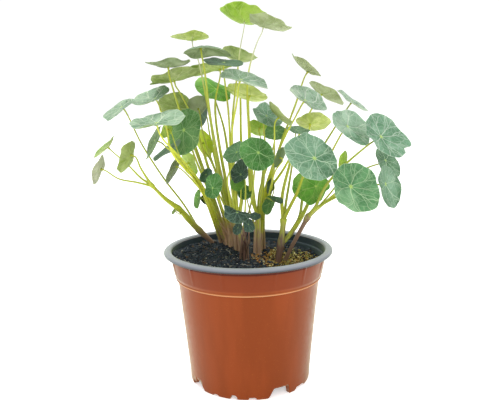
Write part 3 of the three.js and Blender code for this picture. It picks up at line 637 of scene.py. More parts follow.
# the finish of each kind of leaf: upper face, its darker patches, its paler patches and its veins,
# then the underside, its patches and its veins, and how clearly the veins show
leafLooks = {
    "blue": ((96, 140, 108), (68, 114, 84), (136, 174, 148), (214, 236, 206),
             (124, 152, 100), (104, 134, 84), (176, 196, 142), 0.75),
    "blueLight": ((148, 176, 152), (116, 150, 122), (188, 206, 184), (240, 246, 234),
                  (150, 176, 130), (126, 152, 108), (204, 218, 178), 0.8),
    "blueBright": ((124, 166, 138), (92, 138, 108), (170, 198, 176), (230, 242, 226),
                   (134, 160, 110), (112, 140, 92), (184, 204, 152), 0.75),
    "bluePale": ((122, 158, 128), (94, 134, 102), (162, 190, 162), (228, 240, 218),
                 (134, 160, 110), (112, 140, 92), (184, 204, 152), 1),
    "sea": ((80, 132, 70), (62, 114, 56), (112, 158, 98), (184, 218, 150),
            (120, 150, 84), (98, 130, 66), (168, 192, 120), 0.75),
    "meadow": ((62, 124, 54), (46, 104, 42), (86, 146, 78), (178, 216, 146),
               (112, 144, 76), (92, 124, 60), (160, 186, 112), 0.75),
    "seaPale": ((92, 146, 98), (72, 124, 82), (130, 174, 132), (200, 230, 182),
                (120, 150, 90), (98, 130, 72), (168, 192, 126), 0.75),
    "bright": ((102, 168, 58), (80, 144, 44), (140, 192, 88), (190, 222, 120),
               (128, 168, 56), (104, 146, 44), (180, 204, 96), 0.5),
    "teal": ((50, 88, 62), (38, 70, 50), (96, 136, 104), (142, 176, 142),
             (92, 122, 66), (74, 104, 54), (140, 164, 104), 0.6),
    "deep": ((32, 64, 56), (24, 48, 42), (48, 82, 72), (158, 186, 160),
             (70, 100, 58), (56, 82, 46), (120, 144, 96), 0.8),
    "tealPale": ((104, 142, 108), (74, 112, 84), (148, 178, 146), (176, 202, 168),
                 (110, 140, 76), (90, 120, 62), (150, 172, 112), 0.6),
    "lime": ((128, 178, 52), (104, 156, 36), (160, 200, 84), (194, 222, 116),
             (172, 208, 68), (142, 184, 44), (216, 232, 132), 0.65),
    "yellow": ((186, 213, 42), (162, 195, 30), (182, 200, 66), (206, 216, 96),
               (206, 226, 18), (186, 206, 12), (222, 232, 70), 0.3),
    "limePale": ((150, 180, 96), (130, 162, 76), (178, 200, 130), (206, 222, 160),
                 (184, 202, 116), (154, 176, 84), (222, 230, 166), 0.6),
    "limeLight": ((184, 206, 128), (150, 184, 84), (206, 220, 160), (224, 234, 180),
                  (236, 242, 156), (208, 222, 118), (150, 166, 72), 0.5),
    "ash": ((190, 200, 170), (170, 182, 150), (208, 214, 192), (214, 220, 196),
            (206, 208, 184), (190, 192, 166), (220, 222, 200), 0.3),
    "olive": ((116, 148, 96), (96, 130, 80), (152, 176, 128), (186, 206, 158),
              (164, 182, 108), (134, 154, 80), (212, 218, 158), 0.6),
    "olivePale": ((150, 170, 128), (130, 150, 108), (176, 192, 152), (200, 212, 176),
                  (178, 190, 142), (154, 166, 114), (216, 220, 182), 0.55),
    "grey": ((110, 140, 104), (92, 124, 88), (150, 174, 144), (184, 206, 174),
             (142, 158, 118), (112, 130, 88), (190, 198, 160), 0.5),
}

leafSlots = {
    "blade_bluish": ("blue", "blueLight", "blueBright", "bluePale"),
    "blade_green": ("sea", "meadow", "seaPale", "bright"),
    "blade_dark": ("teal", "deep", "tealPale"),
    "blade_lime_underside": ("lime", "yellow", "limePale", "limeLight"),
    "blade_olive_underside": ("ash", "olive", "olivePale", "grey"),
}
slotOf = {look: slot for slot, looks in leafSlots.items() for look in looks}


def leafAxes(tilt, heading, spin):
    # normal out of the upper face; tip: downhill turned by the spin about it; side: square to both
    lean, compass, turn = radians(tilt), radians(heading), radians(spin)
    normal = np.array([np.sin(lean) * np.cos(compass), np.sin(lean) * np.sin(compass), np.cos(lean)])
    downhill = np.array([np.cos(lean) * np.cos(compass), np.cos(lean) * np.sin(compass), -np.sin(lean)])
    tip = downhill * np.cos(turn) + np.cross(normal, downhill) * np.sin(turn)
    return normal, tip, np.cross(normal, tip)


def leafRow(hub, radius, tilt, heading, spin, cup, look, lobes=(), bends=(), fold=0, curl=0):
    # tilt, compass heading and spin are in degrees, all else in mm; lobes of the outline are (angle,
    # share of the radius, width in degrees), bends of the blade are (angle, rise, width in degrees)
    return {"hub": np.array(hub, float), "radius": radius, "axes": leafAxes(tilt, heading, spin), "cup": cup,
            "look": look, "lobes": lobes, "bends": bends, "fold": fold, "curl": curl}


def youngLeaf(hub, radius, tilt, heading, spin, look, lobes=()):
    # a leaf that is still unfolding: all of these have the same cup
    return leafRow(hub, radius, tilt, heading, spin, leafShape["youngCup"], look, lobes)


leafRows = {
    "top_1": leafRow([0, 25, 273.4], 18, 14, 77, 178, 6, "lime", bends=[(35, -2.6, 30), (75, -1.5, 25),
                     (172, -2.6, 28), (240, 1.2, 35)]),
    "top_2": leafRow([13.6, -8, 267], 15, 16, 30, -70, 3, "olivePale", lobes=[(36, 0.16, 9),
                     (212, -0.16, 32)], bends=[(240, 2.2, 40), (300, 2.2, 20), (165, 1.4, 22),
                     (30, -1.8, 28), (75, -1.3, 25)]),
    "top_3": leafRow([-39.2, 12, 259.8], 14.5, 8, 102, 120, 3.5, "limeLight", bends=[(60, -1.3, 45),
                     (335, -1.5, 22), (275, 1.6, 18)], curl=1.5),
    "crown_1": leafRow([-30.8, -24, 252], 15.4, 14, 122, -122, -3.5, "grey", lobes=[(10, 0.1, 25)],
                       bends=[(300, -1.9, 30), (18, -2.2, 28)]),
    "crown_2": leafRow([-5, 66, 246], 15.6, 20, 55, -160, 3, "olive", bends=[(140, 2.6, 28),
                       (30, -1.2, 15)]),
    "crown_3": leafRow([-15.5, 0, 242.1], 15, 14, -65, -30, 1.5, "teal", bends=[(340, -1.8, 35),
                       (210, -1.0, 30), (90, -1, 20)]),
    "crown_4": leafRow([-55.9, -6, 239.8], 15.6, 6, 117, 176, 2.7, "grey", lobes=[(275, 0.1, 14)],
                       bends=[(346, 1.1, 12), (20, -2.4, 18), (155, -2, 28), (230, 1.8, 26),
                       (292, -1.4, 26)]),
    "crown_5": leafRow([-54.5, 18, 230], 19, 18, 137, 150, 3.5, "olive", lobes=[(270, -0.08, 8),
                       (250, 0.06, 9), (100, 0.14, 25)], bends=[(150, 3, 35), (325, -3, 18),
                       (250, -1.5, 12), (95, -3.2, 28)], curl=1),
    "crown_6": leafRow([-20.1, 30, 238.6], 17.1, 18, 121, 60, 2, "limePale", lobes=[(0, 0.2, 35),
                       (180, -0.3, 50)], bends=[(0, -3.2, 22), (335, -2.5, 18), (285, 2, 28),
                       (215, 1.8, 20)]),
    "crown_7": leafRow([-24, 55, 222], 15.8, 38, -47, -115, -1, "bright"),
    "crown_8": leafRow([-3.4, -28, 229.6], 17.5, 21, -36, 45, 2.5, "blueLight", bends=[(0, -3.2, 18),
                       (190, -1.2, 30), (30, -0.3, 15), (62, 1.2, 18), (330, -1.5, 15), (240, -1, 15),
                       (270, 1, 15)], curl=1),
    "crown_9": leafRow([3.5, 45, 217], 17, 26, 55, 130, 2, "limeLight", bends=[(300, -2.2, 22),
                       (45, -0.8, 40)]),
    "middle_1": leafRow([15, -8, 203], 13, 41, -51, 120, 1, "blueBright", lobes=[(75, -0.24, 28),
                        (28, 0.14, 10), (350, -0.3, 28), (305, -0.12, 20)], curl=1),
    "middle_2": leafRow([23.6, -24, 202.8], 11.3, 45, 12, -150, 2, "olive", lobes=[(240, 0.25, 30),
                        (185, 0.12, 22), (95, 0.1, 18)]),
    "middle_3": leafRow([11.2, 48, 190.5], 9.8, 50, 70, 40, 1, "lime"),
    "middle_4": leafRow([50.5, 28, 194.5], 14, 35, 76, -83, 2, "limeLight", lobes=[(235, -0.12, 20)],
                        bends=[(285, -0.3, 35)]),
    "middle_5": leafRow([8, -48, 180.5], 12.5, 60, -71, -50, 1.5, "meadow"),
    "middle_6": leafRow([-7, -20, 178], 9.5, 43, -114, -110, 1, "seaPale", lobes=[(345, -0.28, 40),
                        (110, 0.3, 28)]),
    "middle_7": leafRow([-4.5, -10, 160], 9.5, 72, -139, 176, 2, "deep", lobes=[(205, -0.3, 30),
                        (240, -0.25, 20)]),
    "front_1": leafRow([45, -62, 177.5], 19.5, 52, -61, -100, 2, "blue", lobes=[(303, -0.17, 18),
                       (30, -0.06, 20), (100, -0.08, 28), (162, -0.05, 22)]),
    "front_2": leafRow([67.7, -69, 159.4], 16.8, 63, -77, 70, 2, "seaPale", lobes=[(262, -0.1, 15),
                       (300, 0.05, 15), (207, -0.15, 30), (325, 0.1, 20), (25, -0.05, 18)]),
    "front_3": leafRow([50.5, -20, 151.9], 13.6, 51, -82, -105, -1.5, "bright", lobes=[(0, 0.12, 40),
                       (80, 0.15, 14), (155, -0.3, 35)]),
    "front_4": leafRow([-24, -42, 155.5], 9, 70, -131, 172, 0.5, "meadow", lobes=[(95, -0.2, 35)]),
    "front_5": leafRow([-7, -58, 141.2], 9, 40, -85, 0, 1, "deep", lobes=[(180, -0.75, 42), (238, 0.35, 14),
                       (130, -0.3, 25)], bends=[(120, -5, 35)]),
    "left_1": leafRow([-59, -58, 202], 18.5, 14, -123, -150, 2.5, "bluePale", bends=[(30, -2.4, 25),
                      (300, -2.2, 20), (240, -2.4, 22), (170, 1.3, 35), (90, -1, 15)]),
    "left_2": leafRow([-47, 4, 193], 17.5, 76, -130, 56, 1.5, "sea"),
    "left_3": leafRow([-54, 34, 209], 12.5, 58, 109, 86, 3, "olive"),
    "left_4": leafRow([-37, 20, 208], 8.5, 57, 116, 158, 2, "grey", lobes=[(75, 0.25, 35)]),
    "left_5": leafRow([-36.5, 50, 203], 11, 80, -149, 90, 1, "teal"),
    "left_6": leafRow([-64.4, -30, 188.5], 13, 66, -163, -28, 0.5, "olive"),
    "left_7": leafRow([-57, -6, 180], 12.5, 35, -158, -8, 0.5, "tealPale", lobes=[(287, -0.28, 34)]),
    "left_8": leafRow([-55, 12, 164.5], 10.5, 65, 163, 20, 0.5, "grey", lobes=[(345, 0.3, 15)]),
    "left_9": leafRow([-46, 28, 165], 10.5, 78, 40, 42, 1, "lime"),
    "left_10": leafRow([-34.5, 40, 179.5], 10, 80, 38, 54, 1, "yellow", lobes=[(180, 0.25, 150)]),
    "outer_left_1": leafRow([-84.3, -20, 177.2], 12.6, 74, 164, 18, 2, "limePale",
                            lobes=[(300, -0.18, 40)]),
    "outer_left_2": leafRow([-104.5, 2, 181], 11, 42, -166, -26, 0.5, "limePale", bends=[(180, 4, 35),
                            (330, 1.8, 30)], fold=1.5),
    "outer_left_3": leafRow([-104, -30, 168.6], 10.3, 76, 168, 40, 0.5, "ash", lobes=[(235, -0.4, 22),
                            (265, -0.45, 25), (300, -0.4, 25), (140, 0.15, 25)]),
    "outer_left_4": leafRow([-89.5, -14, 211.5], 13, 38, -144, -22, 0.5, "bluePale",
                            lobes=[(92, -0.38, 32)], bends=[(195, -3, 35)]),
    "outer_left_5": leafRow([-68.5, 12, 216.5], 15.5, 29, -142, -73, 2.5, "bluePale",
                            lobes=[(97, -0.32, 23), (214, -0.17, 28)], bends=[(100, 2, 30), (0, 2.2, 20)]),
    "right_1": leafRow([42, -22, 214.3], 15, 41, -44, 89, 1.5, "blueLight", lobes=[(225, -0.28, 40),
                       (322, 0.08, 15), (280, -0.15, 20)], bends=[(210, 4, 45)]),
    "right_2": leafRow([48.5, 22, 235], 14.5, 35, 12, 167, 2.5, "olivePale", lobes=[(0, 0.08, 9),
                       (325, 0.2, 10), (341, -0.1, 6), (185, -0.26, 28)], bends=[(185, 1.6, 32),
                       (235, 1.8, 22), (0, 1.5, 10)]),
    "right_3": leafRow([62, 46, 217], 16.5, 37, 22, -62, 2.5, "olivePale", bends=[(150, 3.4, 28),
                       (110, 1.6, 22), (0, -1.5, 25), (38, -1.2, 15), (300, -0.8, 30)]),
    "right_4": leafRow([82.3, 20, 211.3], 13.3, 37, -22, 132, 1.5, "blueLight", lobes=[(245, 0.2, 18)],
                       bends=[(320, -2.4, 35), (42, -2.4, 24)]),
    "right_5": leafRow([72, -24, 195.5], 16.5, 51, -55, 41, 1.5, "blueBright", lobes=[(265, -0.42, 32),
                       (300, -0.12, 20), (220, -0.12, 20), (30, -0.06, 20)]),
    "right_6": leafRow([92.4, -42, 189.3], 18, 55, -60, 60, 2, "blueBright", lobes=[(230, -0.35, 35),
                       (278, -0.26, 34), (350, -0.16, 6), (8, 0.05, 8), (30, -0.06, 12), (120, 0.08, 25),
                       (180, -0.15, 25)]),
    "right_7": leafRow([98.8, -30, 154.6], 15.5, 76, -39, 28, 2, "blue", lobes=[(235, -0.35, 35),
                       (335, 0.06, 15)]),
}


def waves(turn, phase, rows):
    # the sum of sines round the hub, each with its own count, height and phase
    return sum(height * np.sin(count * turn + phase[which]) for count, height, which in rows)


def blade(leaf, shape, seed, fine):
    # radius over the angle: a circle whose middle stands off the hub, with scallops and lobes;
    # height over share and angle: cup, fold and curl, waves and bends of the rim, bulges between the
    # veins and ridges under them
    radius, fold = leaf["radius"], leaf["fold"]
    normal, tip, side = leaf["axes"]
    size = radius / shape["usual"]
    draw = np.random.default_rng(seed)
    rings, columns = int(shape["rings"] * fine), int(shape["columns"] * fine)
    turn = np.linspace(0, 2 * pi, columns, endpoint=False)[None]
    degrees = np.degrees(turn)
    phase = draw.uniform(0, 2 * pi, 6)
    warped = turn + 0.2 * np.sin(turn + phase[0]) + 0.14 * np.sin(2 * turn + phase[1]) + phase[2]
    offset = shape["hubOffset"]
    rim = offset * np.cos(turn) + np.sqrt(1 - (offset * np.sin(turn)) ** 2)
    scallop = shape["scallop"] * np.abs(np.cos(shape["veins"] / 2 * warped)) ** 1.5
    rim = rim * (1 - shape["trim"] + scallop + waves(turn, phase, shape["ripple"]))
    rim = rim * (1 + waves(turn, phase, shape["crinkle"]))
    for middle, share, width in leaf["lobes"]:
        rim = rim * (1 + share * bump(degrees - middle, width))
    share = np.sin(np.linspace(0, pi / 2, rings + 1)[1:])[:, None]
    share = np.concatenate([share, share[::-1]])
    under = np.concatenate([np.zeros(rings), np.ones(rings)])[:, None]
    along, across = share * rim * np.cos(turn), share * rim * np.sin(turn)
    rise = leaf["cup"] * (along ** 2 + across ** 2) + fold * np.abs(across) - leaf["curl"] * along ** 2
    rise += shape["wave"] * size * share ** 2.5 * waves(turn, phase, shape["waves"])
    for middle, height, width in leaf["bends"]:
        rise += height * share ** 2 * bump(degrees - middle, width)
    fromVein = np.abs((shape["veins"] * warped / (2 * pi) + 0.5) % 1 - 0.5)
    rise += shape["quilt"] * size * (np.sin(pi * fromVein) ** 0.8 - 0.5) * np.sin(pi * share) ** 0.7
    ridge = np.exp(-(fromVein * share / shape["ribWide"]) ** 2) * (1 - 0.7 * share)
    half = shape["thickness"] / 2 * np.sqrt(np.clip(1 - share ** 8, 0.04, 1))
    rise += half * (1 - 2 * under) - shape["rib"] * size * ridge * under
    narrowed = 1 / np.hypot(1, fold / radius)
    points = leaf["hub"] + radius * along[..., None] * tip + radius * narrowed * across[..., None] * side
    points = points + rise[..., None] * normal
    ends = [leaf["hub"][None] + normal * (half[0, 0] * z) for z in (1, -2)]
    flat = np.stack([share * np.cos(warped), share * np.sin(warped)], -1).reshape(-1, 2)
    return surface(np.vstack([ends[0], points.reshape(-1, 3), ends[1]]), closedRings(2 * rings, columns),
                   map=np.vstack([[[0, 0]], flat, [[0, 0]]]),
                   under=np.concatenate([[0], np.repeat(under[:, 0], columns), [1]]))


def leafFinish(name, look, shape):
    # main veins run out from the hub, each forks three times at places of its own, and between them lie
    # fine nets; the map's coordinates are shaken a little first, so no vein is straight
    face, patch, pale, vein, underFace, underPatch, underVein, bold = look
    material, tree, shader = newFinish("leaf_" + name, 0.48, 0.35)
    place = addNode(tree, "UVMap", uv_map="map").outputs[0]
    solid = addNode(tree, "TexCoord").outputs["Object"]
    shake = addNode(tree, "TexNoise", {"Vector": solid, "Scale": 75, "Detail": 2})
    middle = (0.5, 0.5, 0.5)
    shake = addNode(tree, "VectorMath", {0: shake.outputs[1], 1: middle}, operation="SUBTRACT").outputs[0]
    shake = addNode(tree, "VectorMath", {0: shake, "Scale": 0.5}, operation="SCALE").outputs[0]
    reach = addNode(tree, "VectorMath", {0: place}, operation="LENGTH").outputs["Value"]
    shake = addNode(tree, "VectorMath", {0: shake, "Scale": reach}, operation="SCALE").outputs[0]
    shaken = addNode(tree, "VectorMath", {0: place, 1: shake}, operation="ADD").outputs[0]
    split = addNode(tree, "SeparateXYZ", {0: shaken})
    apart = 2 * pi / shape["veins"]
    turns = maths(tree, "DIVIDE", maths(tree, "ARCTAN2", split.outputs[1], split.outputs[0]), apart)
    nearest = maths(tree, "ROUND", turns)
    away = maths(tree, "MULTIPLY", maths(tree, "SUBTRACT", turns, nearest), apart)
    across = maths(tree, "MULTIPLY", reach, away)
    number = maths(tree, "MODULO", maths(tree, "ADD", nearest, shape["veins"]), shape["veins"])
    own = addNode(tree, "TexWhiteNoise", {"W": number}, noise_dimensions="1D").outputs[0]
    width = maths(tree, "MULTIPLY_ADD", reach, -0.009, 0.016)
    main = ramped(tree, maths(tree, "DIVIDE", maths(tree, "ABSOLUTE", across), width), 0.4, 1.6, 1, 0)
    main = maths(tree, "MULTIPLY", main, ramped(tree, reach, 0.5, 1.0, 1, 0.5))
    lines = main
    for side, first, spread, slope in shape["forks"]:
        start = maths(tree, "MULTIPLY_ADD", own, spread, first)
        past = maths(tree, "MAXIMUM", maths(tree, "SUBTRACT", reach, start), 0)
        branch = maths(tree, "MULTIPLY", past, side * slope)
        fork = maths(tree, "ABSOLUTE", maths(tree, "SUBTRACT", across, branch))
        fork = maths(tree, "MULTIPLY", ramped(tree, fork, 0.004, 0.02, 0.8, 0), ramped(tree, past, 0.0, 0.04))
        lines = maths(tree, "MAXIMUM", lines, fork)
    for scale, strength in shape["nets"]:
        net = addNode(tree, "TexVoronoi", {"Vector": shaken, "Scale": scale}, feature="DISTANCE_TO_EDGE",
                      voronoi_dimensions="2D")
        net = ramped(tree, net.outputs["Distance"], 0.01, 0.08, strength, 0)
        net = maths(tree, "MULTIPLY", net, ramped(tree, reach, 0.15, 0.4))
        lines = maths(tree, "MAXIMUM", lines, net)
    heart = ramped(tree, reach, 0.03, 0.12, 0.8, 0)
    under = attribute(tree, "under")
    patches = ramped(tree, noise(tree, 130, 4), 0.4, 0.58)
    clouds = ramped(tree, noise(tree, 70, 5, None, 0.6), 0.5, 0.68, 0, 0.85)
    bloom = ramped(tree, noise(tree, 34, 2), 0.4, 0.62, -0.35, 0.55)
    clouds = maths(tree, "MAXIMUM", maths(tree, "ADD", clouds, bloom), 0)
    clouds = maths(tree, "MINIMUM", clouds, 1)
    upper = mixed(tree, patches, face, patch)
    upper = mixed(tree, clouds, upper, pale)
    lower = mixed(tree, patches, underFace, underPatch)
    lower = mixed(tree, maths(tree, "MULTIPLY", clouds, 0.5), lower, underVein)
    colour = mixed(tree, under, upper, lower)
    veins = mixed(tree, under, vein, underVein)
    colour = mixed(tree, maths(tree, "MULTIPLY", lines, bold), colour, veins)
    colour = mixed(tree, heart, colour, shape["heart"])
    edge = ramped(tree, reach, 0.965, 1.0, 0, 0.45)
    colour = mixed(tree, edge, colour, veins)
    tree.links.new(colour, shader.inputs["Base Color"])
    height = maths(tree, "SUBTRACT", maths(tree, "MULTIPLY", noise(tree, 420, 2), 0.6), lines)
    addBump(tree, shader, height, 0.0008, 0.7)
    addGlow(tree, shader, shape["glowShare"], mixed(tree, 0.4, colour, shape["glow"]))
    return material


def addBlade(name, leaf, seed, fine, node):
    # fine is the share of the usual count of rings and columns
    look = leaf["look"]
    addPiece(name, blade(leaf, leafShape, seed, fine), leafFinishes[look], slotOf[look], node)


leafFinishes = {name: leafFinish(name, look, leafShape) for name, look in leafLooks.items()}
for seed, (name, leaf) in enumerate(leafRows.items()):
    addBlade("blade_" + name, leaf, 100 + seed, 1, "leaf_" + name)
print("leaves made:", len(leafRows))

# the stems and stalks: steps and radii in mm, and the sides of their tubes
stemShape = {
    "step": 2.2, "stemSides": 14, "stalkSides": 9, "stalkBase": 1.3, "stalkTip": 0.52, "topTip": 0.32,
    "topAbove": 255, "hubFlare": 0.5, "footFlare": 0.6, "swellWidth": 2.6, "rootDepth": 6, "browned": 26,
    "stalkBrowned": 30,
    # a stalk turns up to the hub this far under it, or at this share of the blade's radius if that is less
    "under": 4.5, "underShare": 0.35,
    # a bundled stalk beside the stem: share of the way to where it leaves, and share of its distance
    "rising": ((0.3, 1.05), (0.6, 0.9), (1, 0.75)),
    "yellow": (208, 216, 70), "olive": (148, 163, 52), "brown": (212, 176, 142), "rust": (186, 146, 88),
    "dusk": (88, 66, 56), "pale": (200, 204, 176),
}

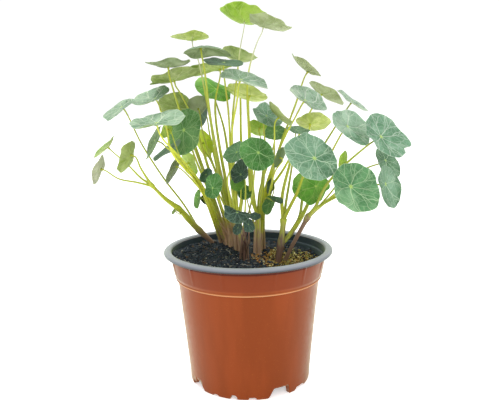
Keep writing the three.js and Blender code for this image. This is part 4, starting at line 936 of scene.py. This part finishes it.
# each shoot: points of its stem, its radii from root to end, and whether its stalks rise as one bunch;
# the stalks' thickness, how dark and how yellow they are, how high its brown skin reaches; then its
# stalks as (share of the stem, leaf, points between) and its young leaves in the same way
shoots = {
    "trailing": {
        "stem": [[-28, 39.5, 95], [-39.5, 24, 111], [-46, 15, 121], [-52, 6, 131], [-62, -8, 143],
                 [-70, -22, 156]],
        "radii": (1.5, 2.4, 2.5, 2.1, 1.5, 1.05), "bundled": False,
        "thick": 0.75, "dusk": 0.5, "yellow": 0.4, "brownTo": 118,
        "stalks": [(1, "outer_left_1", [[-77, -21, 168]]),
                   (1, "outer_left_2", [[-77, -16, 159], [-89, -4, 168]]),
                   (0.97, "outer_left_3", [[-80, -25, 158], [-92, -27, 161]]),
                   (0.25, "outer_left_4", [[-51, 30, 130], [-65, 17, 154], [-79, 2, 183]])],
        "young": [(0.6, youngLeaf([-56, 2, 131], 2.6, 60, -150, 0, "limePale"), [[-52, 3, 128]])],
    },
    "left_front": {
        "stem": [[-20, 42.5, 95], [-23.3, 29.5, 108], [-27, 16, 124], [-35, -8, 153], [-44, -28, 170],
                 [-52, -45, 184]],
        "radii": (1.9, 0.9), "bundled": True,
        "thick": 0.85, "dusk": 0.1, "yellow": 0.8, "brownTo": 116,
        "stalks": [(1, "left_1", [[-55.5, -51, 190]]),
                   (0.97, "outer_left_5", [[-56, -28, 195], [-62, -6, 206]]),
                   (0.97, "left_6", [[-55, -40, 184]]),
                   (0.8, "left_7", [[-49, -20, 172]])],
        "young": [(0.9, youngLeaf([-57, -14, 195], 6, 74, 146, 10, "lime"), [[-51, -22, 184]])],
    },
    "left_back": {
        "stem": [[-15.5, 37.5, 95], [-18.5, 37.5, 106], [-21, 37, 118]],
        "radii": (2.6, 2.0), "bundled": True,
        "thick": 1.25, "dusk": 0.1, "yellow": 0.5, "brownTo": 127,
        "stalks": [(1, "crown_4", [[-33, 28, 153], [-46, 17, 194], [-50.5, 14, 207], [-54.5, 2, 226]]),
                   (1, "crown_5", [[-28, 28, 151], [-42, 15, 203], [-50.5, 16, 221]]),
                   (0.8, "left_3", [[-33, 36, 152], [-46, 33, 192]]),
                   (0.6, "left_2", [[-33, 20, 150], [-42, 11, 178]]),
                   (0.5, "left_8", [[-34, 25, 139], [-46, 17, 156]]),
                   (0.9, "left_9", [[-33, 25, 140], [-42, 20.5, 155]])],
        "young": [(0.3, youngLeaf([-38.8, 17, 139], 7.8, 82, -157, 10, "bright", lobes=[(200, -0.2, 25)]),
                   [[-28, 27, 122]]),
                  (0.3, youngLeaf([-34.5, 23, 135.5], 4.5, 55, -40, 60, "deep"), [[-27, 31, 124]])],
    },
    "centre_left": {
        "stem": [[-11.5, 29.5, 95], [-13, 27, 108], [-14, 25, 122]],
        "radii": (2.5, 2.0), "bundled": True,
        "thick": 1.35, "dusk": 0.15, "yellow": 0.6, "brownTo": 128,
        "stalks": [(1, "top_3", [[-20, 22, 152], [-28, 13, 204], [-36, 10.5, 248]]),
                   (0.9, "crown_1", [[-20, 14, 152], [-26.5, -8, 205], [-28.5, -20, 234]]),
                   (0.8, "left_4", [[-23, 25, 151], [-34, 21, 190]]),
                   (1, "left_10", [[-22, 31, 148], [-30, 37, 167]]),
                   (0.7, "left_5", [[-23, 36, 152], [-30, 46, 186]]),
                   (0.5, "front_4", [[-18, 0, 129], [-21, -28, 146]])],
        "young": [(0.6, youngLeaf([-30.5, -6, 160], 6, 58, -130, 40, "teal"), [[-20, 10, 138]])],
    },
    "centre_back": {
        "stem": [[-7, 16.5, 95], [-8, 17, 108], [-9, 18, 121]],
        "radii": (2.4, 1.9), "bundled": True,
        "thick": 1.35, "dusk": 0.3, "yellow": 0.8, "brownTo": 128,
        "stalks": [(1, "crown_6", [[-17, 21, 152], [-24, 26, 210]]),
                   (0.9, "crown_7", [[-12, 31, 144], [-18, 45, 190]]),
                   (0.8, "crown_2", [[-4, 30, 140], [-4.5, 56, 186], [-4.5, 67, 218]])],
        "young": [],
    },
    "centre": {
        "stem": [[-1.5, 3, 95], [-4, 3.5, 110], [-7, 4, 126]],
        "radii": (2.9, 2.2), "bundled": True,
        "thick": 1, "dusk": 0.5, "yellow": 0.9, "brownTo": 124,
        "stalks": [(1, "crown_3", [[-11, 3, 142], [-13, 1, 205]]),
                   (0.9, "top_1", [[-8.5, 10, 140], [-11, 15, 190], [-7, 20, 228], [-3, 23, 256]]),
                   (0.8, "crown_8", [[-9, 3, 141], [-11, 4, 170], [-10.5, -5, 192], [-6, -21, 216]]),
                   (0.5, "middle_6", [[-13, -11, 142], [-14, -16, 160]]),
                   (0.4, "middle_7", [[-2, -7, 130]])],
        "young": [(0.7, youngLeaf([-6, -3, 154], 6.6, 66, -120, -30, "bright"), [[-5, 0, 138]])],
    },
    "front": {
        "stem": [[-3.4, -13, 95], [-3, -16, 106], [-1.5, -19, 118]],
        "radii": (2.8, 1.3), "bundled": True,
        "thick": 0.75, "dusk": 1.0, "yellow": 0.3, "brownTo": 146,
        "stalks": [(1, "middle_5", [[3, -33, 145]]),
                   (0.6, "front_5", [[-3, -35, 122]])],
        "young": [(0.9, youngLeaf([5, -46, 136], 4.2, 30, -89, 0, "deep"), [[3, -32, 126]]),
                  (0.5, youngLeaf([-6.8, -47, 128], 4.3, 66, -120, 0, "deep", lobes=[(90, -0.2, 35),
                   (270, -0.2, 35)]), [[-4, -32, 115]]),
                  (0.4, youngLeaf([0.3, -48, 130.6], 4.9, 68, -70, 10, "deep", lobes=[(90, -0.2, 35),
                   (270, -0.2, 35)]), [[1, -32, 115]])],
    },
    "centre_right": {
        "stem": [[6, 11, 95], [6.5, 12, 108], [7, 13, 121]],
        "radii": (2.8, 2.2), "bundled": True,
        "thick": 1.2, "dusk": 0.4, "yellow": 0.7, "brownTo": 124,
        "stalks": [(1, "top_2", [[3, 8, 142], [2, 2, 190], [2, -3, 232], [9, -7, 256]]),
                   (0.9, "crown_9", [[5, 23, 139], [3, 37, 186]]),
                   (0.8, "middle_3", [[10, 29, 136], [14, 42, 172]]),
                   (1, "middle_1", [[11.5, 4, 142], [14, -3, 178]])],
        "young": [(0.7, youngLeaf([24, 25, 189.4], 8.5, 45, -73, -29, "sea", lobes=[(330, 0.35, 25)]),
                   [[9.5, 23, 140], [20, 26, 172]]),
                  (0.5, youngLeaf([-2, 8, 144.6], 5.8, 72, -100, 10, "sea"), [[2, 11, 128]])],
    },
    "right_back": {
        "stem": [[10.5, 23, 95], [11, 20.5, 112], [12.2, 17, 129], [15, 11.5, 142], [21, 1, 165]],
        "radii": (2.3, 1.7), "bundled": True,
        "thick": 1.2, "dusk": 0.5, "yellow": 0.7, "brownTo": 118,
        "stalks": [(1, "right_1", [[28, -9, 187], [36, -17, 203]]),
                   (0.7, "right_2", [[26, 16, 178], [38.5, 20, 210]]),
                   (0.6, "middle_4", [[28, 12, 160], [42, 22, 182]]),
                   (0.5, "middle_2", [[17.2, 0, 142], [19.8, -12, 166], [20.3, -21, 188]])],
        "young": [(0.3, youngLeaf([16.5, -8, 137.6], 7.4, 72, -148, 5, "sea"), [[12, 6, 128]]),
                  (0.45, youngLeaf([24, -18, 173.3], 8.6, 68, 149, -86, "teal", lobes=[(40, -0.25, 18),
                   (120, -0.2, 15)]), [[16, -3, 142], [21, -14, 163]]),
                  (0.4, youngLeaf([18.4, 0, 150.5], 6.8, 78, -160, 10, "teal"), [[17.5, 6, 135]]),
                  (0.3, youngLeaf([21, -20, 142.6], 4.8, 28, -50, 20, "teal"), [[14, -4, 141]])],
    },
    "right": {
        "stem": [[22.3, -16, 95], [24.2, -16, 106.6], [25.8, -16, 118], [26.7, -15, 127]],
        "radii": (2.2, 2.6, 2.2, 1.9), "bundled": False,
        "thick": 1.1, "dusk": 0.9, "yellow": 0.4, "brownTo": 121,
        "stalks": [(1, "front_1", [[31.8, -22, 139], [35.6, -30, 149], [39, -44, 163]]),
                   (0.97, "right_3", [[25.8, -10, 140], [33, 16, 162], [42, 40, 183], [54, 45, 206]]),
                   (0.4, "right_5", [[29.2, -15, 112.4], [39.1, -13, 126.4], [43.7, -11, 134.5],
                                    [57, -7, 163]]),
                   (0.4, "right_4", [[29.4, -14, 113], [38.5, -10, 126.2], [43, 6, 140], [52, 12, 165],
                                    [70, 17, 194]]),
                   (0.4, "front_3", [[29.2, -15.5, 112], [39.5, -14.5, 126]])],
        "young": [(1, youngLeaf([38, 8, 191], 9, 16, -62, 57, "blue"), [[29.5, -10, 142], [35, 0, 170]])],
    },
    "outer_right": {
        "stem": [[28.1, -12, 95], [32.9, -15, 106.2], [37.9, -19, 117.1], [42.1, -22, 126],
                 [44.8, -24, 131.6]],
        "radii": (1.6, 1.5, 1.6, 1.5), "bundled": False,
        "thick": 0.9, "dusk": 0.75, "yellow": 0.2, "brownTo": 138,
        "stalks": [(1, "front_2", [[50.9, -31, 138.9], [57.5, -44, 146], [62, -59, 152]]),
                   (1, "right_6", [[49, -31, 139.5], [55.5, -40, 156], [66, -40, 168], [87, -42, 186]]),
                   (0.95, "right_7", [[48, -29, 136.5], [59, -36, 145], [82, -31, 157]])],
        "young": [(0.95, youngLeaf([103, -8, 168.8], 13, 58, -42, 30, "blue", lobes=[(30, 0.12, 30)]),
                   [[65, -21, 147], [88, -10, 163]]),
                  (0.9, youngLeaf([69.6, -25, 169], 8, 80, 147, -170, "lime", lobes=[(90, -0.3, 40)]),
                   [[55, -30, 143], [65, -30, 156]])],
    },
}


def stemTube(shoot, shape, draw):
    # the stem and its rooted end: tapered, with a swelling where each stalk leaves it; in a bundled
    # shoot it is thinner, as one of the bunch
    slim, swelling = (0.5, 0.15) if shoot["bundled"] else (1, 0.5)
    knots = np.array(shoot["stem"], float)
    way, length = smoothWay(knots, max(12, int(np.linalg.norm(knots[-1] - knots[0]) / shape["step"])))
    share = np.linspace(0, 1, len(way))
    radius = np.interp(share, np.linspace(0, 1, len(shoot["radii"])), shoot["radii"]) * slim
    for leaves in {stalk[0] for stalk in shoot["stalks"] + shoot["young"]}:
        radius = radius + swelling * np.exp(-((share - leaves) * length / shape["swellWidth"]) ** 2)
    down = way[0] - shape["rootDepth"] * unit(way[1] - way[0])
    path = np.vstack([down, way])
    radius = np.concatenate([[radius[0] * 1.1], radius]) * draw.uniform(0.97, 1.03, len(path))
    brown = np.clip((shoot["brownTo"] - path[:, 2]) / shape["browned"] + 0.35, 0, 1)
    yellow = np.full(len(path), shoot["yellow"])
    dusk = np.full(len(path), shoot["dusk"])
    return tube(path, radius, shape["stemSides"], brown=brown, yellow=yellow, dusk=dusk, pale=0 * dusk), way


def pointAlong(way, part):
    # the point at this share of the way, between the two points of it that are nearest
    return np.array([np.interp(part * (len(way) - 1), range(len(way)), way[:, k]) for k in range(3)])


def stalkTube(way, share, leaf, between, shape, shoot, draw):
    # from the stem through the points between, up to the hub from beneath, flared at both ends; in a
    # bundled shoot it starts in the soil and runs up beside the stem first
    hub, normal = leaf["hub"], leaf["axes"][0]
    beneath = hub - min(shape["under"], shape["underShare"] * leaf["radius"]) * normal
    knots = [pointAlong(way, share), *between, beneath, hub - 0.15 * normal]
    turn = draw.uniform(0, 2 * pi)
    spread = draw.uniform(0.75, 1.25) * shoot["radii"][0]
    if shoot["bundled"]:
        beside = spread * np.array([np.cos(turn), 0.7 * np.sin(turn), 0])
        rooted = pointAlong(way, 0) + 1.2 * beside - (0, 0, 4)
        rising = [pointAlong(way, part * share) + away * beside for part, away in shape["rising"]]
        knots = [rooted, *rising, *knots[1:]]
    rough = np.linalg.norm(np.diff(np.array(knots, float), axis=0), axis=1).sum()
    path, length = smoothWay(knots, max(8, int(rough / shape["step"])))
    run = np.linspace(0, length, len(path))
    small = min(1.0, 0.45 + leaf["radius"] / 26)
    top = hub[2] > shape["topAbove"]
    base, tip = shape["stalkBase"] * shoot["thick"], shape["topTip" if top else "stalkTip"]
    radius = np.interp(run / length, [0, 0.35, 1], [base, 0.85 * base, tip]) * small
    radius = radius + (0 if shoot["bundled"] else shape["footFlare"]) * np.exp(-run / 3) * small
    radius = radius + shape["hubFlare"] * small * np.exp(-(length - run) / 1.1)
    most = 0.8 + 0.3 * shoot["dusk"]
    brown = np.clip((shoot["brownTo"] - path[:, 2]) / shape["stalkBrowned"] + 0.2, 0, most)
    yellow = np.clip(shoot["yellow"] + draw.uniform(-0.35, 0.25) + 0 * run, 0, 1)
    dusk = np.clip(shoot["dusk"] + draw.uniform(-0.4, 0.3) + 0 * run, 0, 1)
    pale = np.clip((run / length - 0.78) / 0.12, 0, 1) * top
    return tube(path, radius, shape["stalkSides"], brown=brown, yellow=yellow, dusk=dusk, pale=pale)


def stemFinish(shape):
    # olive to yellow with rusty streaks, pale near the highest hubs; over it the skin, from brown to
    # dusky, where the stem or stalk is low
    material, tree, shader = newFinish("freshStem", 0.42, 0.45)
    streaks = streaked(tree, 900, 0.12)
    colour = mixed(tree, attribute(tree, "yellow"), shape["olive"], shape["yellow"])
    colour = mixed(tree, ramped(tree, streaks, 0.5, 0.75, 0, 0.5), colour, shape["rust"])
    colour = mixed(tree, maths(tree, "MULTIPLY", attribute(tree, "pale"), 0.8), colour, shape["pale"])
    brown = maths(tree, "ADD", attribute(tree, "brown"), ramped(tree, streaks, 0.35, 0.7, -0.15, 0.15))
    skin = mixed(tree, attribute(tree, "dusk"), shape["brown"], shape["dusk"])
    colour = mixed(tree, ramped(tree, brown, 0.1, 0.9), colour, skin)
    tree.links.new(colour, shader.inputs["Base Color"])
    addBump(tree, shader, streaks, 0.0003, 0.4)
    addGlow(tree, shader, 0.15, colour)
    return material


freshStem = stemFinish(stemShape)
for seed, (name, shoot) in enumerate(shoots.items()):
    draw = np.random.default_rng(300 + seed)
    stem, way = stemTube(shoot, stemShape, draw)
    grown = [(share, leafRows[leaf], points) for share, leaf, points in shoot["stalks"]]
    stalks = [stalkTube(way, *stalk, stemShape, shoot, draw) for stalk in grown + shoot["young"]]
    addPiece("stems_" + name, joined([stem] + stalks), freshStem, "stem", "shoot_" + name)
    for k, (_, leaf, _) in enumerate(shoot["young"]):
        addBlade(f"young_{name}_{k + 1}", leaf, 400 + 10 * seed + k, 0.6, "shoot_" + name)
print("shoots made:", len(shoots))
